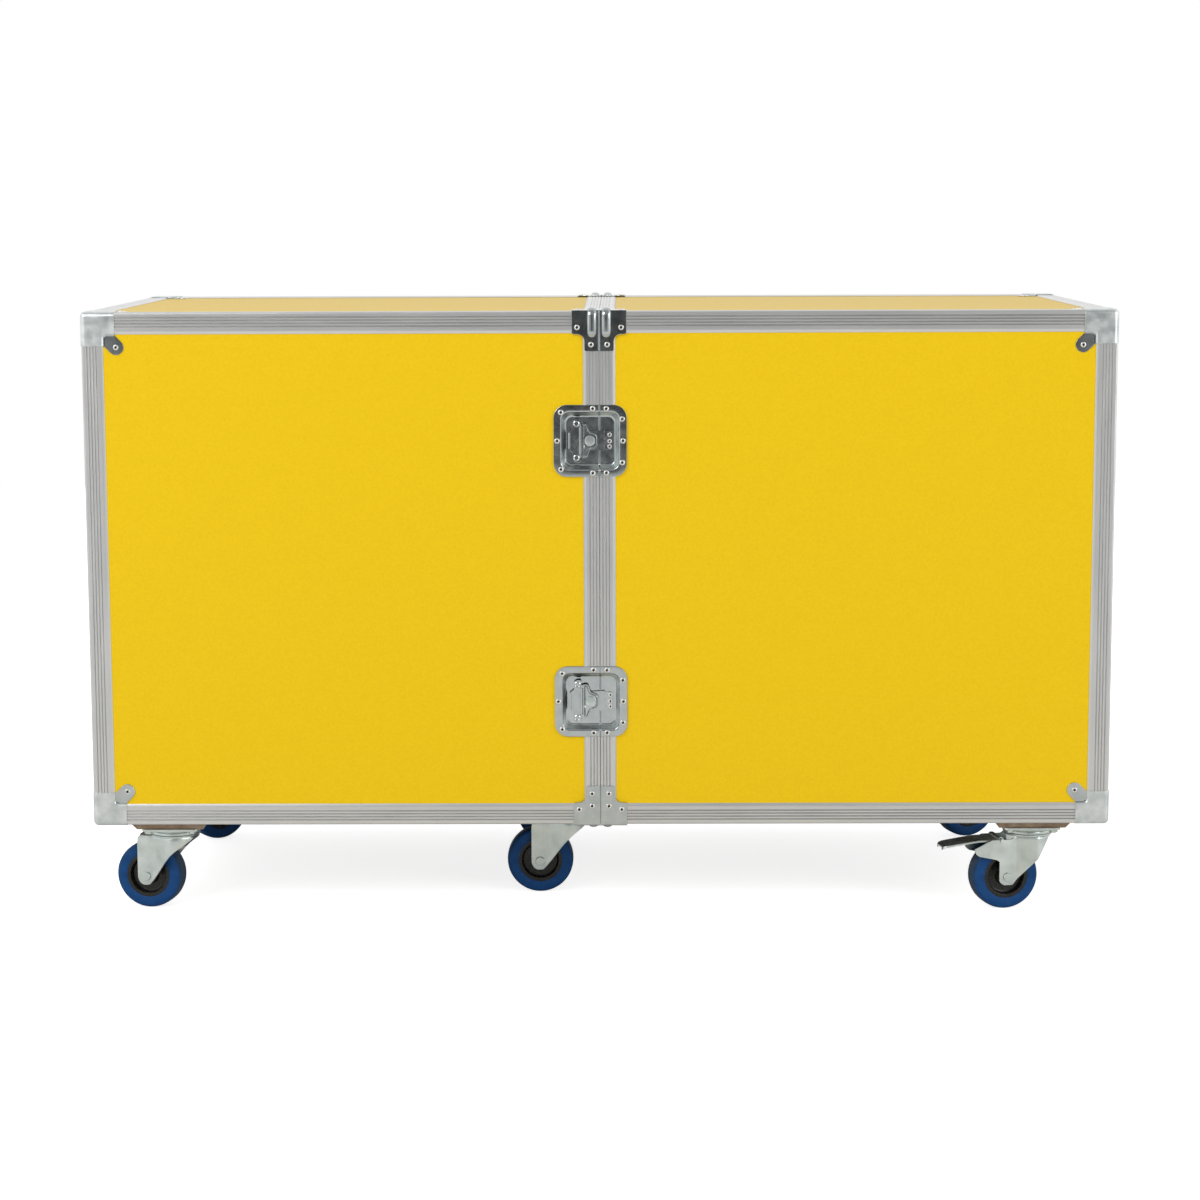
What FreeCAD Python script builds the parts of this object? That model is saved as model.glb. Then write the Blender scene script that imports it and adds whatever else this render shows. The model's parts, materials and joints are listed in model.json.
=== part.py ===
import FreeCAD, Part
import math
import os
import types
import Sketcher

# Wheeled trunk in two halves. The left half stands on four castors, the right half swings about
# hinges at the rear seam and rolls on two braked castors. Millimetres, Z up, X along the case,
# Y from front to rear. The origin is on the floor under the middle of the whole object.

SIZES = {
    # Closed case, measured over the edge extrusions
    "case_width": 1480,
    "case_depth": 656,
    "case_height": 746,
    "seam_gap": 0.3,
    # Plywood walls
    "panel_thickness": 9,
    "panel_play": 0.1,
    # Edge extrusions: grooved outer legs, short inner legs, solid corner
    "edge_leg": 31,
    "edge_wall": 2,
    "edge_cut": 1.6,
    "edge_bevel": 4,
    "edge_lip": 0.8,
    "inner_leg": 24,
    "inner_wall": 1.5,
    "groove_count": 4,
    "groove_start": 7.2,
    "groove_pitch": 4.35,
    "groove_width": 1.6,
    "groove_depth": 0.7,
    # Closing extrusions round the mouth of each half
    "closing_width": 23,
    "closing_block": 8,
    "closing_inner": 15,
    "closing_grooves": 3,
    "closing_pitch": 4.6,
    "closing_groove_width": 1.3,
    "closing_groove_depth": 0.6,
    "tongue_start": 4.2,
    "tongue_root": 4.6,
    "tongue_taper": 1.2,
    "tongue_length": 4.5,
    "tongue_play": 0.7,
    # Pressed corner caps
    "cap_size": 48,
    "cap_plate": 1.5,
    "lug_reach": 50,
    "lug_radius": 11,
    "lug_sides": 8,
    "joggle_length": 2.6,
    # Seam braces
    "brace_plate": 1.5,
    "brace_arm": 39,
    "brace_arm_width": 32.6,
    "brace_leg": 57,
    "brace_leg_width": 21,
    "brace_fillet": 8,
    "bulge_radius": 7.5,
    "bulge_offset": 9,
    "bulge_height": 5.7,
    "bulge_run": 30,
    "bulge_bevel": 3.2,
    "bulge_corner": 0.6,
    "bulge_slope": 1.4,
    "lower_bulge_height": 3,
    # Rear hinges
    "hinge_count": 2,
    "hinge_end_inset": 165,
    "hinge_length": 84,
    "hinge_leaf_width": 21,
    "hinge_plate": 2,
    "hinge_axis_out": 6.8,
    "knuckle_radius": 5.5,
    "hinge_pin_radius": 3,
    "running_fit": 0.05,
    "pin_sides": 8,
    "knuckle_gap": 0.3,
    # Recessed latches
    "latch_upper": 561,
    "latch_lower": 182,
    "latch_offset": 13.2,
    "dish_width": 105.4,
    "dish_height": 103.6,
    "dish_corner": 19,
    "dish_plate": 1.4,
    "recess_open": 81,
    "recess_floor": 70,
    "recess_depth": 9.4,
    "cutout_play": 0.5,
    "boss_radius": 8,
    "boss_sides": 12,
    "spindle_radius": 4,
    "cam_plate": 1.4,
    "cam_depth": 1.2,
    "cam_tip": 11.5,
    "cam_nose": 4,
    "cam_shoulder": 26,
    "cam_waist": 13,
    "wing_reach": 31,
    "wing_rise": 31,
    "wing_waist": 13,
    "wing_clip": 4,
    "wing_lobe": 24.5,
    "wing_pin_out": 14.2,
    "wing_pin_radius": 1.2,
    "wing_curl_radius": 2.1,
    "wing_curl_length": 38,
    "wing_ear_width": 4.5,
    "latch_gap": 0.4,
    "hook_plate": 2,
    "hook_depth": 5,
    "hook_reach": 21,
    "hook_width": 30,
    "hook_tail": 19.5,
    "hook_clip": 6,
    "hook_travel": 5.5,
    "keeper_plate": 1.2,
    "keeper_near": 5.5,
    "keeper_far": 18,
    "keeper_height": 26,
    "keeper_post": 2.5,
    "keeper_clearance": 0.3,
    # Castors
    "castor_height": 128,
    "pad_thickness": 10,
    "pad_width": 112,
    "pad_bevel": 7.5,
    "packing_width": 60,
    "middle_pad_width": 98,
    "castor_end_inset": 108,
    "castor_front_inset": 64,
    "castor_rear_inset": 101,
    "rear_left_end_inset": 135,
    "middle_seam_inset": 54.5,
    "middle_inset": 165,
    "turn_front_left": -12,
    "turn_front_right": 12,
    "turn_rear_left": 35,
    "turn_rear_right": 20,
    "turn_middle_front": 0,
    "turn_middle_rear": -20,
    "plate_length": 103,
    "plate_width": 84,
    "plate_thickness": 3,
    "race_radius": 36.5,
    "race_height": 11,
    "race_gap": 0.3,
    "king_radius": 6,
    "king_head_radius": 10,
    "king_head": 4,
    "trail": 38,
    "wheel_radius": 50,
    "wheel_width": 36,
    "shoulder": 3.5,
    "wheel_sides": 32,
    "hub_sides": 12,
    "hub_boss_sides": 8,
    "tyre_bore": 31,
    "hub_width": 33,
    "hub_rim": 4.5,
    "hub_web": 13,
    "hub_boss_radius": 13,
    "hub_boss_width": 42,
    "axle_radius": 6,
    "axle_head_radius": 8.2,
    "hex_sides": 6,
    "axle_head": 3,
    "fork_plate": 2.5,
    "fork_inner": 44,
    "fork_leg": 13,
    "fork_toe": 8,
    "fork_back": 24,
    "fork_skirt": 8,
    "fork_lean": 3,
    "fork_clip": 7,
    "crown_radius": 36,
    "crown_sides": 16,
    "crown_fold": 2.5,
    # Brakes of the two castors on the right half
    "nose_reach": 54,
    "nose_drop": 26,
    "nose_root": 32,
    "nose_tip": 13,
    "pedal_pivot_back": 10,
    "pedal_pivot_height": 105.3,
    "pedal_pin_radius": 2.5,
    "pedal_eye": 2.4,
    "pedal_slot": 7.2,
    "pedal_width": 39,
    "pedal_plate": 2.5,
    "pedal_knee": 44,
    "pedal_reach": 88,
    "pedal_drop": 7,
    "shoe_start": 8,
    "shoe_length": 8,
    "shoe_width": 28,
    "shoe_drop": 5,
    # Sprung handles in the ends
    "handle_height": 430,
    "handle_length": 160,
    "handle_tall": 110,
    "handle_corner": 12,
    "handle_open_length": 128,
    "handle_open_tall": 82,
    "handle_draft": 4,
    "handle_depth": 12.4,
    "handle_plate": 1.4,
    "bail_radius": 5,
    "bail_half": 44,
    "bail_drop": 46,
    "bail_rise": 25,
    "bail_ear": 5,
    "bail_plate": 6.4,
    "bail_head": 3.5,
    "bail_ear_half": 7,
    "bail_axle_radius": 3,
    "bail_clearance": 0.4,
}

doc = FreeCAD.newDocument("trunk")
sheet = doc.addObject("Spreadsheet::Sheet", "sizes")
for row, (size_name, size_value) in enumerate(SIZES.items(), start=1):
    sheet.set("A%d" % row, size_name)
    sheet.set("B%d" % row, str(size_value))
    sheet.setAlias("B%d" % row, size_name)
doc.recompute()


class Size:
    """A length that carries its value and the sheet expression that gives it."""

    def __init__(self, value, text):
        self.value = float(value)
        self.text = text

    def joined(self, other, sign, value):
        return Size(value, "(%s %s %s)" % (self.text, sign, other.text))

    def __add__(self, other):
        other = as_size(other)
        return self.joined(other, "+", self.value + other.value)

    def __sub__(self, other):
        other = as_size(other)
        return self.joined(other, "-", self.value - other.value)

    def __mul__(self, other):
        other = as_size(other)
        return self.joined(other, "*", self.value * other.value)

    def __truediv__(self, other):
        other = as_size(other)
        return self.joined(other, "/", self.value / other.value)

    def __neg__(self):
        return as_size(0) - self

    def __radd__(self, other):
        return as_size(other) + self

    def __rsub__(self, other):
        return as_size(other) - self


def as_size(number):
    return number if isinstance(number, Size) else Size(number, "(%s)" % number)


d = types.SimpleNamespace(**{name: Size(value, "sizes." + name) for name, value in SIZES.items()})
ZERO = as_size(0)
HALF_DIAGONAL = math.sqrt(0.5)
# How far a cutting tool runs past a face
PAST = 1
# Two places closer than this are the same
SAME = 0.01
# Directions whose cosine is over this are taken as parallel
PARALLEL = 0.9
AXES = {
    "x": FreeCAD.Vector(1, 0, 0),
    "y": FreeCAD.Vector(0, 1, 0),
    "z": FreeCAD.Vector(0, 0, 1),
}

# Places that several pieces share
base = d.castor_height + d.pad_thickness
top = base + d.case_height
left = -d.case_width / 2
right = d.case_width / 2
hinge_reach = d.hinge_axis_out + d.knuckle_radius
front = -(d.case_depth + hinge_reach - d.bulge_height) / 2
rear = front + d.case_depth
middle_y = (front + rear) / 2
middle_z = (base + top) / 2
slot_end = d.edge_wall + d.panel_thickness + d.panel_play
block = slot_end + d.inner_wall
panel_edge = block + d.panel_play


def bind(obj, prop, size):
    obj.setExpression(prop, as_size(size).text)


def place(obj, x=0, y=0, z=0):
    for axis, size in zip("xyz", (x, y, z)):
        bind(obj, "Placement.Base." + axis, size)
    return obj


def box(name, x, y, z):
    """Box between a low and a high value on each axis."""
    obj = doc.addObject("Part::Box", name)
    for prop, (low, high) in zip(("Length", "Width", "Height"), (x, y, z)):
        bind(obj, prop, as_size(high) - low)
    return place(obj, x[0], y[0], z[0])


def fuse(name, pieces):
    obj = doc.addObject("Part::MultiFuse", name)
    obj.Shapes = pieces
    return obj


def cut(name, base_piece, tools):
    obj = doc.addObject("Part::Cut", name)
    obj.Base = base_piece
    obj.Tool = tools[0] if len(tools) == 1 else fuse(name + "_tools", tools)
    return obj


def common(name, pieces):
    obj = doc.addObject("Part::MultiCommon", name)
    obj.Shapes = pieces
    return obj


def group(name, pieces):
    """Several separate solids that make one node."""
    obj = doc.addObject("Part::Compound", name)
    obj.Links = pieces
    return obj


def mirrored(name, source, axis, at):
    obj = doc.addObject("Part::Mirroring", name)
    obj.Source = source
    obj.Normal = AXES[axis]
    bind(obj, "Base." + axis, at)
    return obj


def edges_where(shape, test):
    """Names of the edges whose two ends both pass the test."""
    names = []
    for number, edge in enumerate(shape.Edges, start=1):
        if all(test(vertex.Point) for vertex in edge.Vertexes):
            names.append("Edge%d" % number)
    return names


def corner_arc(before, at, after, radius):
    """Points where a rounding meets its two lines, its centre, and whether it turns left."""
    back = (before - at).normalize()
    ahead = (after - at).normalize()
    half = back.getAngle(ahead) / 2
    reach = radius / math.tan(half)
    centre = at + (back + ahead).normalize() * (radius / math.sin(half))
    return at + back * reach, at + ahead * reach, centre, ahead.cross(back).z > 0


def angle_about(centre, point):
    return math.atan2(point.y - centre.y, point.x - centre.x)


def outline(sketch, corners):
    """Closed loop of lines; a corner with a third value is rounded to that radius."""
    corners = [[as_size(size) for size in corner] for corner in corners]
    points = [FreeCAD.Vector(corner[0].value, corner[1].value, 0) for corner in corners]
    arrive = list(points)
    leave = list(points)
    arcs = {}
    for i, corner in enumerate(corners):
        if len(corner) == 3:
            after = points[(i + 1) % len(points)]
            radius = corner[2].value
            arrive[i], leave[i], centre, left_turn = corner_arc(points[i - 1], points[i], after, radius)
            ends = (arrive[i], leave[i]) if left_turn else (leave[i], arrive[i])
            circle = Part.Circle(centre, AXES["z"], radius)
            arc = Part.ArcOfCircle(circle, *[angle_about(centre, end) for end in ends])
            arcs[i] = (sketch.addGeometry(arc), 1 if left_turn else 2)
    lines = []
    for i in range(len(points)):
        segment = Part.LineSegment(leave[i], arrive[(i + 1) % len(points)])
        lines.append(sketch.addGeometry(segment))
    rules = []
    driven = []
    for i, corner in enumerate(corners):
        before, after = lines[i - 1], lines[i]
        held = (after, 1)
        if i in arcs:
            arc, first = arcs[i]
            vertex = sketch.addGeometry(Part.Point(points[i]), True)
            held = (vertex, 1)
            rules.append(Sketcher.Constraint("Tangent", before, 2, arc, first))
            rules.append(Sketcher.Constraint("Tangent", arc, 3 - first, after, 1))
            rules.append(Sketcher.Constraint("PointOnObject", vertex, 1, before))
            rules.append(Sketcher.Constraint("PointOnObject", vertex, 1, after))
            driven.append((len(rules), corner[2]))
            rules.append(Sketcher.Constraint("Radius", arc, corner[2].value))
        else:
            rules.append(Sketcher.Constraint("Coincident", before, 2, after, 1))
        for kind, size in zip(("DistanceX", "DistanceY"), corner):
            driven.append((len(rules), size))
            rules.append(Sketcher.Constraint(kind, -1, 1, held[0], held[1], size.value))
    numbers = sketch.addConstraint(rules)
    for rule, size in driven:
        bind(sketch, "Constraints[%d]" % numbers[rule], size)


def new_body(name):
    return doc.addObject("PartDesign::Body", name)


def new_sketch(body, plane, loops, offset=0):
    """Sketch on one of the body's own planes, moved along that plane's normal."""
    sketch = body.newObject("Sketcher::SketchObject", body.Name + "_sketch")
    support = [feature for feature in body.Origin.OriginFeatures if feature.Role == plane][0]
    sketch.AttachmentSupport = [(support, "")]
    sketch.MapMode = "FlatFace"
    bind(sketch, "AttachmentOffset.Base.z", offset)
    for loop in loops:
        outline(sketch, loop)
    return sketch


def pad(body, sketch, length):
    feature = body.newObject("PartDesign::Pad", body.Name + "_pad")
    feature.Profile = sketch
    bind(feature, "Length", length)
    return feature


def bevel(body, feature, edges, size):
    """Cut the named edges of a body's feature back by one size."""
    corner_cut = body.newObject("PartDesign::Chamfer", body.Name + "_bevel")
    corner_cut.Base = (feature, edges)
    bind(corner_cut, "Size", size)
    return corner_cut


def prism(name, plane, loops, length, offset=0):
    """Body made by padding one sketch."""
    body = new_body(name)
    pad(body, new_sketch(body, plane, loops, offset), length)
    return body


def polygon_bar(name, axis, start, radius, length, sides):
    """Regular prism from a start point along +x, +y or +z, measured over its corners."""
    obj = doc.addObject("Part::Prism", name)
    bind(obj, "Polygon", sides)
    bind(obj, "Circumradius", radius)
    bind(obj, "Height", length)
    obj.Placement.Rotation = FreeCAD.Rotation(AXES["z"], AXES[axis])
    return place(obj, *start)


def round_bar(name, axis, start, radius, length):
    """Round bar from a start point along +x, +y or +z."""
    obj = doc.addObject("Part::Cylinder", name)
    bind(obj, "Radius", radius)
    bind(obj, "Height", length)
    obj.Placement.Rotation = FreeCAD.Rotation(AXES["z"], AXES[axis])
    return place(obj, *start)


def pin(name, axis, start, radius, length):
    """Hidden pin with few faces; its corners lie on the radius."""
    return polygon_bar(name, axis, start, radius, length, d.pin_sides)


def pin_hole(name, axis, start, radius, length):
    """Hole with few faces for a pin or a round bar: its flats clear it all round."""
    corner = (radius + d.running_fit) / math.cos(math.pi / d.pin_sides.value)
    return polygon_bar(name, axis, start, corner, length, d.pin_sides)


def wedge(name, start, end, near, far):
    """Straight-sided block along Y from a near to a far rectangle, given as widths and heights."""
    obj = doc.addObject("Part::Wedge", name)
    bind(obj, "Ymin", start)
    bind(obj, "Ymax", end)
    for number, (width, height) in (("", near), ("2", far)):
        bind(obj, "X%smin" % number, -width / 2)
        bind(obj, "X%smax" % number, width / 2)
        bind(obj, "Z%smin" % number, -height / 2)
        bind(obj, "Z%smax" % number, height / 2)
    return obj


def rectangle(width, height, radius=None, middle=(0, 0)):
    """Corners of a rectangle about its middle, rounded if a radius is given."""
    x, y = as_size(middle[0]), as_size(middle[1])
    half_w, half_h = as_size(width) / 2, as_size(height) / 2
    corners = [(x - half_w, y - half_h), (x + half_w, y - half_h)]
    corners += [(x + half_w, y + half_h), (x - half_w, y + half_h)]
    return [corner + (radius,) for corner in corners] if radius else corners


def clipped(width, height, clip):
    """Corners of a rectangle about its middle with its corners cut off."""
    half_w, half_h = width / 2, height / 2
    side = [(half_w - clip, -half_h), (half_w, clip - half_h)]
    side += [(x, -y) for x, y in reversed(side)]
    return side + [(-x, y) for x, y in reversed(side)]


# Plywood walls of one half: -1 is the left half, +1 the right half
def latch_cutout(name, height, deep):
    """Opening for a latch dish in the front walls and closing extrusions."""
    half = d.recess_open / 2 + d.dish_plate + d.cutout_play
    x = (-d.latch_offset - half, -d.latch_offset + half)
    z = (base + height - half, base + height + half)
    return box(name, x, (front - PAST, front + deep), z)


def handle_cutout(name, side):
    half_y = d.handle_open_length / 2 + d.handle_plate + d.cutout_play
    half_z = d.handle_open_tall / 2 + d.handle_plate + d.cutout_play
    z = base + d.handle_height
    depth = d.edge_wall + d.panel_thickness + PAST
    x = (left, left + depth) if side < 0 else (right - depth, right)
    return box(name, x, (middle_y - half_y, middle_y + half_y), (z - half_z, z + half_z))


def half_panels(side, word):
    inner = d.closing_block + d.panel_play
    x = (left + panel_edge, -inner) if side < 0 else (inner, right - panel_edge)
    y = (front + panel_edge, rear - panel_edge)
    z = (base + panel_edge, top - panel_edge)
    near, far = d.edge_wall, d.edge_wall + d.panel_thickness
    blank = box("front_blank_" + word, x, (front + near, front + far), z)
    holes = [latch_cutout("front_hole_%s_%d" % (word, i), height, far + PAST)
             for i, height in enumerate((d.latch_upper, d.latch_lower))]
    end_x = (left + near, left + far) if side < 0 else (right - far, right - near)
    end_blank = box("end_blank_" + word, end_x, y, z)
    return [
        cut("panel_front_" + word, blank, holes),
        box("panel_rear_" + word, x, (rear - far, rear - near), z),
        box("panel_top_" + word, x, y, (top - far, top - near)),
        box("panel_bottom_" + word, x, y, (base + near, base + far)),
        cut("panel_end_" + word, end_blank, [handle_cutout("end_hole_" + word, side)]),
    ]


# Edge extrusions
def groove_points(start, pitch, count, width, depth):
    points = []
    for i in range(int(count.value)):
        middle = start + pitch * i
        points += [(middle - width / 2, ZERO), (middle, depth), (middle + width / 2, ZERO)]
    return points


def edge_profile(u_sign, v_sign):
    """Two grooved legs outside and two short legs inside, round a solid corner."""
    wall = d.edge_wall
    leg = groove_points(d.groove_start, d.groove_pitch, d.groove_count, d.groove_width, d.groove_depth)
    leg += [(d.edge_leg - d.edge_bevel, ZERO), (d.edge_leg, wall - d.edge_lip), (d.edge_leg, wall)]
    leg += [(block, wall), (block, slot_end), (d.inner_leg, slot_end), (d.inner_leg, block)]
    leg.insert(0, (d.edge_cut, ZERO))
    outside = leg + [(block, block)] + [(v, u) for u, v in reversed(leg)]
    return [[(u * u_sign, v * v_sign) for u, v in outside]]


def edge_extrusions_left():
    """One run in each direction at the front left top corner, and its mirror images."""
    run_x = -left - d.edge_leg - d.closing_width
    along_x = prism("edge_x", "YZ_Plane", edge_profile(1, -1), run_x)
    place(along_x, left + d.edge_leg, front, top)
    along_z = prism("edge_z", "XY_Plane", edge_profile(1, 1), d.case_height - d.edge_leg * 2)
    place(along_z, left, front, base + d.edge_leg)
    along_y = prism("edge_y", "XZ_Plane", edge_profile(1, -1), d.case_depth - d.edge_leg * 2)
    place(along_y, left, rear - d.edge_leg, top)
    low_x = mirrored("edge_x_low", along_x, "z", middle_z)
    runs = [along_x, low_x, mirrored("edge_x_rear", along_x, "y", middle_y)]
    runs += [mirrored("edge_x_low_rear", low_x, "y", middle_y)]
    runs += [along_z, mirrored("edge_z_rear", along_z, "y", middle_y)]
    runs += [along_y, mirrored("edge_y_low", along_y, "z", middle_z)]
    return group("edge_extrusions_left", runs)


# Closing extrusions, with a tongue on the left half and a groove on the right
def closing_profile(side, u_sign, v_sign):
    wall = d.edge_wall
    outer = groove_points(d.closing_pitch, d.closing_pitch, d.closing_grooves,
                          d.closing_groove_width, d.closing_groove_depth)
    low, high = d.tongue_start, d.tongue_start + d.tongue_root
    reach, spread = -d.tongue_length, ZERO
    if side > 0:
        reach, spread = d.tongue_length + d.tongue_play, d.tongue_play
    taper = d.tongue_taper
    loop = [(d.seam_gap / 2, ZERO)] + outer
    loop += [(d.closing_width - d.edge_bevel, ZERO), (d.closing_width, wall - d.edge_lip)]
    loop += [(d.closing_width, wall), (d.closing_block, wall), (d.closing_block, slot_end)]
    loop += [(d.closing_inner, slot_end), (d.closing_inner, block), (d.seam_gap / 2, block)]
    loop += [(d.seam_gap / 2, high + spread), (reach, high + spread - taper)]
    loop += [(reach, low - spread + taper), (d.seam_gap / 2, low - spread)]
    return [[(u * u_sign, v * v_sign) for u, v in loop]]


def closing_frame(side, word):
    """Front post in three lengths, with the latch dishes between them, and the other three sides."""
    upright = prism("closing_upright_" + word, "XY_Plane", closing_profile(side, side, 1), d.case_height)
    place(upright, 0, front, base)
    gaps = [latch_cutout("closing_gap_%s_%d" % (word, i), height, block + PAST)
            for i, height in enumerate((d.latch_upper, d.latch_lower))]
    front_post = cut("closing_front_" + word, upright, gaps)
    rear_post = mirrored("closing_rear_" + word, upright, "y", middle_y)
    across = prism("closing_top_" + word, "XZ_Plane", closing_profile(side, side, -1),
                   d.case_depth - block * 2)
    place(across, 0, rear - block, top)
    low = mirrored("closing_low_" + word, across, "z", middle_z)
    return front_post, group("closing_frame_" + word, [rear_post, across, low])


# Corner caps: three plates round a corner, each with a lug set down onto the panel
CAP_FACES = {
    "front": ((1, 0, 0), (0, 0, -1), (0, 1, 0)),
    "end": ((0, 0, -1), (0, 1, 0), (1, 0, 0)),
    "top": ((0, 1, 0), (1, 0, 0), (0, 0, -1)),
}


def cap_point(face, a, b, depth):
    """Point a and b along a cap's face from the outer corner, at a depth under its face."""
    corner = (left, front, top)
    along, across, inward = CAP_FACES[face]
    return [corner[k] + as_size(a) * along[k] + as_size(b) * across[k] + as_size(depth) * inward[k]
            for k in range(3)]


def diagonal_strip(name, face, start, length, width, depth, thick):
    """Flat bar along the diagonal of a cap's face, from a start measured along both edges."""
    along, across, inward = [FreeCAD.Vector(*axis) for axis in CAP_FACES[face]]
    obj = doc.addObject("Part::Box", name)
    bind(obj, "Length", length)
    bind(obj, "Width", width)
    bind(obj, "Height", thick)
    obj.Placement.Rotation = FreeCAD.Rotation(along + across, across - along, inward)
    shift = width * HALF_DIAGONAL / 2
    return place(obj, *cap_point(face, start + shift, start - shift, depth))


def corner_block(name, start, end, edge_cut):
    """Cube at the front left top corner of the case, with its three outer edges cut."""
    body = new_body(name)
    side = end - start
    blank = pad(body, new_sketch(body, "XY_Plane", [rectangle(side, side)]), side)
    doc.recompute()
    middle = side.value / 2
    names = edges_where(blank.Shape, lambda p: (p.x < 0) + (p.y < 0) + (p.z > middle) >= 2)
    bevel(body, blank, names, edge_cut)
    return place(body, left + (start + end) / 2, front + (start + end) / 2, top - end)


def corner_cap():
    plate = d.cap_plate
    blank = corner_block("cap_blank", -plate, d.cap_size, d.edge_cut + plate)
    hollow = corner_block("cap_hollow", ZERO, d.cap_size + plate, d.edge_cut)
    width = d.lug_radius * 2
    joggle_start = d.edge_leg + d.lug_radius * HALF_DIAGONAL + d.panel_play
    joggle_end = joggle_start + d.joggle_length
    openings = [hollow]
    lugs = []
    for face in CAP_FACES:
        inward = FreeCAD.Vector(*CAP_FACES[face][2])
        openings.append(diagonal_strip("cap_gap_" + face, face, joggle_end, d.cap_size, width, -plate, plate))
        step = d.joggle_length / HALF_DIAGONAL
        lugs.append(diagonal_strip("cap_step_" + face, face, joggle_start, step, width,
                                   -plate, d.edge_wall + plate))
        arm = (d.lug_reach - joggle_end) / HALF_DIAGONAL
        lugs.append(diagonal_strip("cap_arm_" + face, face, joggle_end, arm, width,
                                   d.edge_wall - plate, plate))
        tip = doc.addObject("Part::Prism", "cap_tip_" + face)
        bind(tip, "Polygon", d.lug_sides)
        bind(tip, "Circumradius", d.lug_radius)
        bind(tip, "Height", plate)
        tip.Placement.Rotation = FreeCAD.Rotation(AXES["z"], inward)
        lugs.append(place(tip, *cap_point(face, d.lug_reach, d.lug_reach, d.edge_wall - plate)))
    shell = cut("cap_shell", blank, openings)
    return fuse("cap_front_top", [shell] + lugs)


def four_ways(name, source):
    """The source at the front top, and its images at the bottom and at the rear."""
    low = mirrored(name + "_low", source, "z", middle_z)
    rear_top = mirrored(name + "_rear", source, "y", middle_y)
    return [source, low, rear_top, mirrored(name + "_low_rear", low, "y", middle_y)]


# Seam braces on the left half; the right half has their mirror images
def brace_outline(v_sign):
    near = -d.seam_gap / 2
    clip = d.brace_fillet / 2
    corners = [(near, d.brace_plate), (-d.brace_arm, d.brace_plate), (-d.brace_arm, -d.brace_arm_width)]
    corners += [(-d.brace_leg_width - clip, -d.brace_arm_width)]
    corners += [(-d.brace_leg_width, -d.brace_arm_width - clip)]
    corners += [(-d.brace_leg_width, -d.brace_leg), (near, -d.brace_leg)]
    return [[(x, v * v_sign) for x, v in corners]]


def swage(name, side_view):
    """Pressed bulge: its side view padded across the brace, with bevelled flanks."""
    half = d.bulge_radius
    body = new_body(name)
    blank = pad(body, new_sketch(body, "YZ_Plane", [side_view], -half), half * 2)
    doc.recompute()
    flanks = []
    for edge in edges_where(blank.Shape, lambda p: True):
        ends = [vertex.Point for vertex in blank.Shape.getElement(edge).Vertexes]
        along = abs(ends[0].x - ends[1].x) < SAME
        seated = all(abs(p.y) < SAME for p in ends) or all(abs(p.z) < SAME for p in ends)
        if along and not seated:
            flanks.append(edge)
    bevel(body, blank, flanks, d.bulge_bevel)
    return body


def upper_brace():
    face = place(prism("brace_face", "XZ_Plane", brace_outline(1), d.brace_plate), 0, front, top)
    roof = place(prism("brace_roof", "XY_Plane", brace_outline(-1), d.brace_plate), 0, front, top)
    rise, run = d.bulge_height, d.bulge_run
    cut_back, slope = rise * d.bulge_corner, rise * d.bulge_slope
    half_view = [(ZERO, -run - slope), (-rise, -run), (-rise, rise - cut_back)]
    side_view = half_view + [(-z, -y) for y, z in reversed(half_view)] + [(ZERO, ZERO)]
    bulge = place(swage("brace_swage", side_view), -d.bulge_offset, front, top)
    return fuse("brace_front_top", [face, roof, bulge])


def lower_brace():
    face = place(prism("low_brace_face", "XZ_Plane", brace_outline(-1), d.brace_plate), 0, front, base)
    sole = prism("low_brace_sole", "XY_Plane", brace_outline(-1), d.brace_plate, -d.brace_plate)
    place(sole, 0, front, base)
    drop, run, lip = d.lower_bulge_height, d.bulge_run, d.brace_plate
    side_view = [(-lip, ZERO), (-lip, -drop), (run, -drop), (run + drop * d.bulge_slope, ZERO)]
    bulge = prism("low_brace_swage", "YZ_Plane", [side_view], d.bulge_radius * 2, -d.bulge_radius)
    place(bulge, -d.bulge_offset, front, base)
    return fuse("brace_front_low", [face, sole, bulge])


# Rear hinges: two knuckles on the left leaf, one between them on the right leaf
def hinge_heights():
    count = int(d.hinge_count.value)
    first = base + d.hinge_end_inset
    span = d.case_height - d.hinge_end_inset * 2
    return [first + span * i / (count - 1) for i in range(count)]


def hinge_knuckle(name, side, z, height):
    """Tube round the pin with the curl that joins it to its leaf."""
    axis_y = rear + d.hinge_axis_out
    tube = polygon_bar(name + "_tube", "z", (ZERO, axis_y, z), d.knuckle_radius, height, d.pin_sides)
    far = d.knuckle_radius * side
    x = (ZERO, far) if side > 0 else (far, ZERO)
    curl = box(name + "_curl", x, (rear, axis_y), (z, z + height))
    return fuse(name, [tube, curl])


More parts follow.
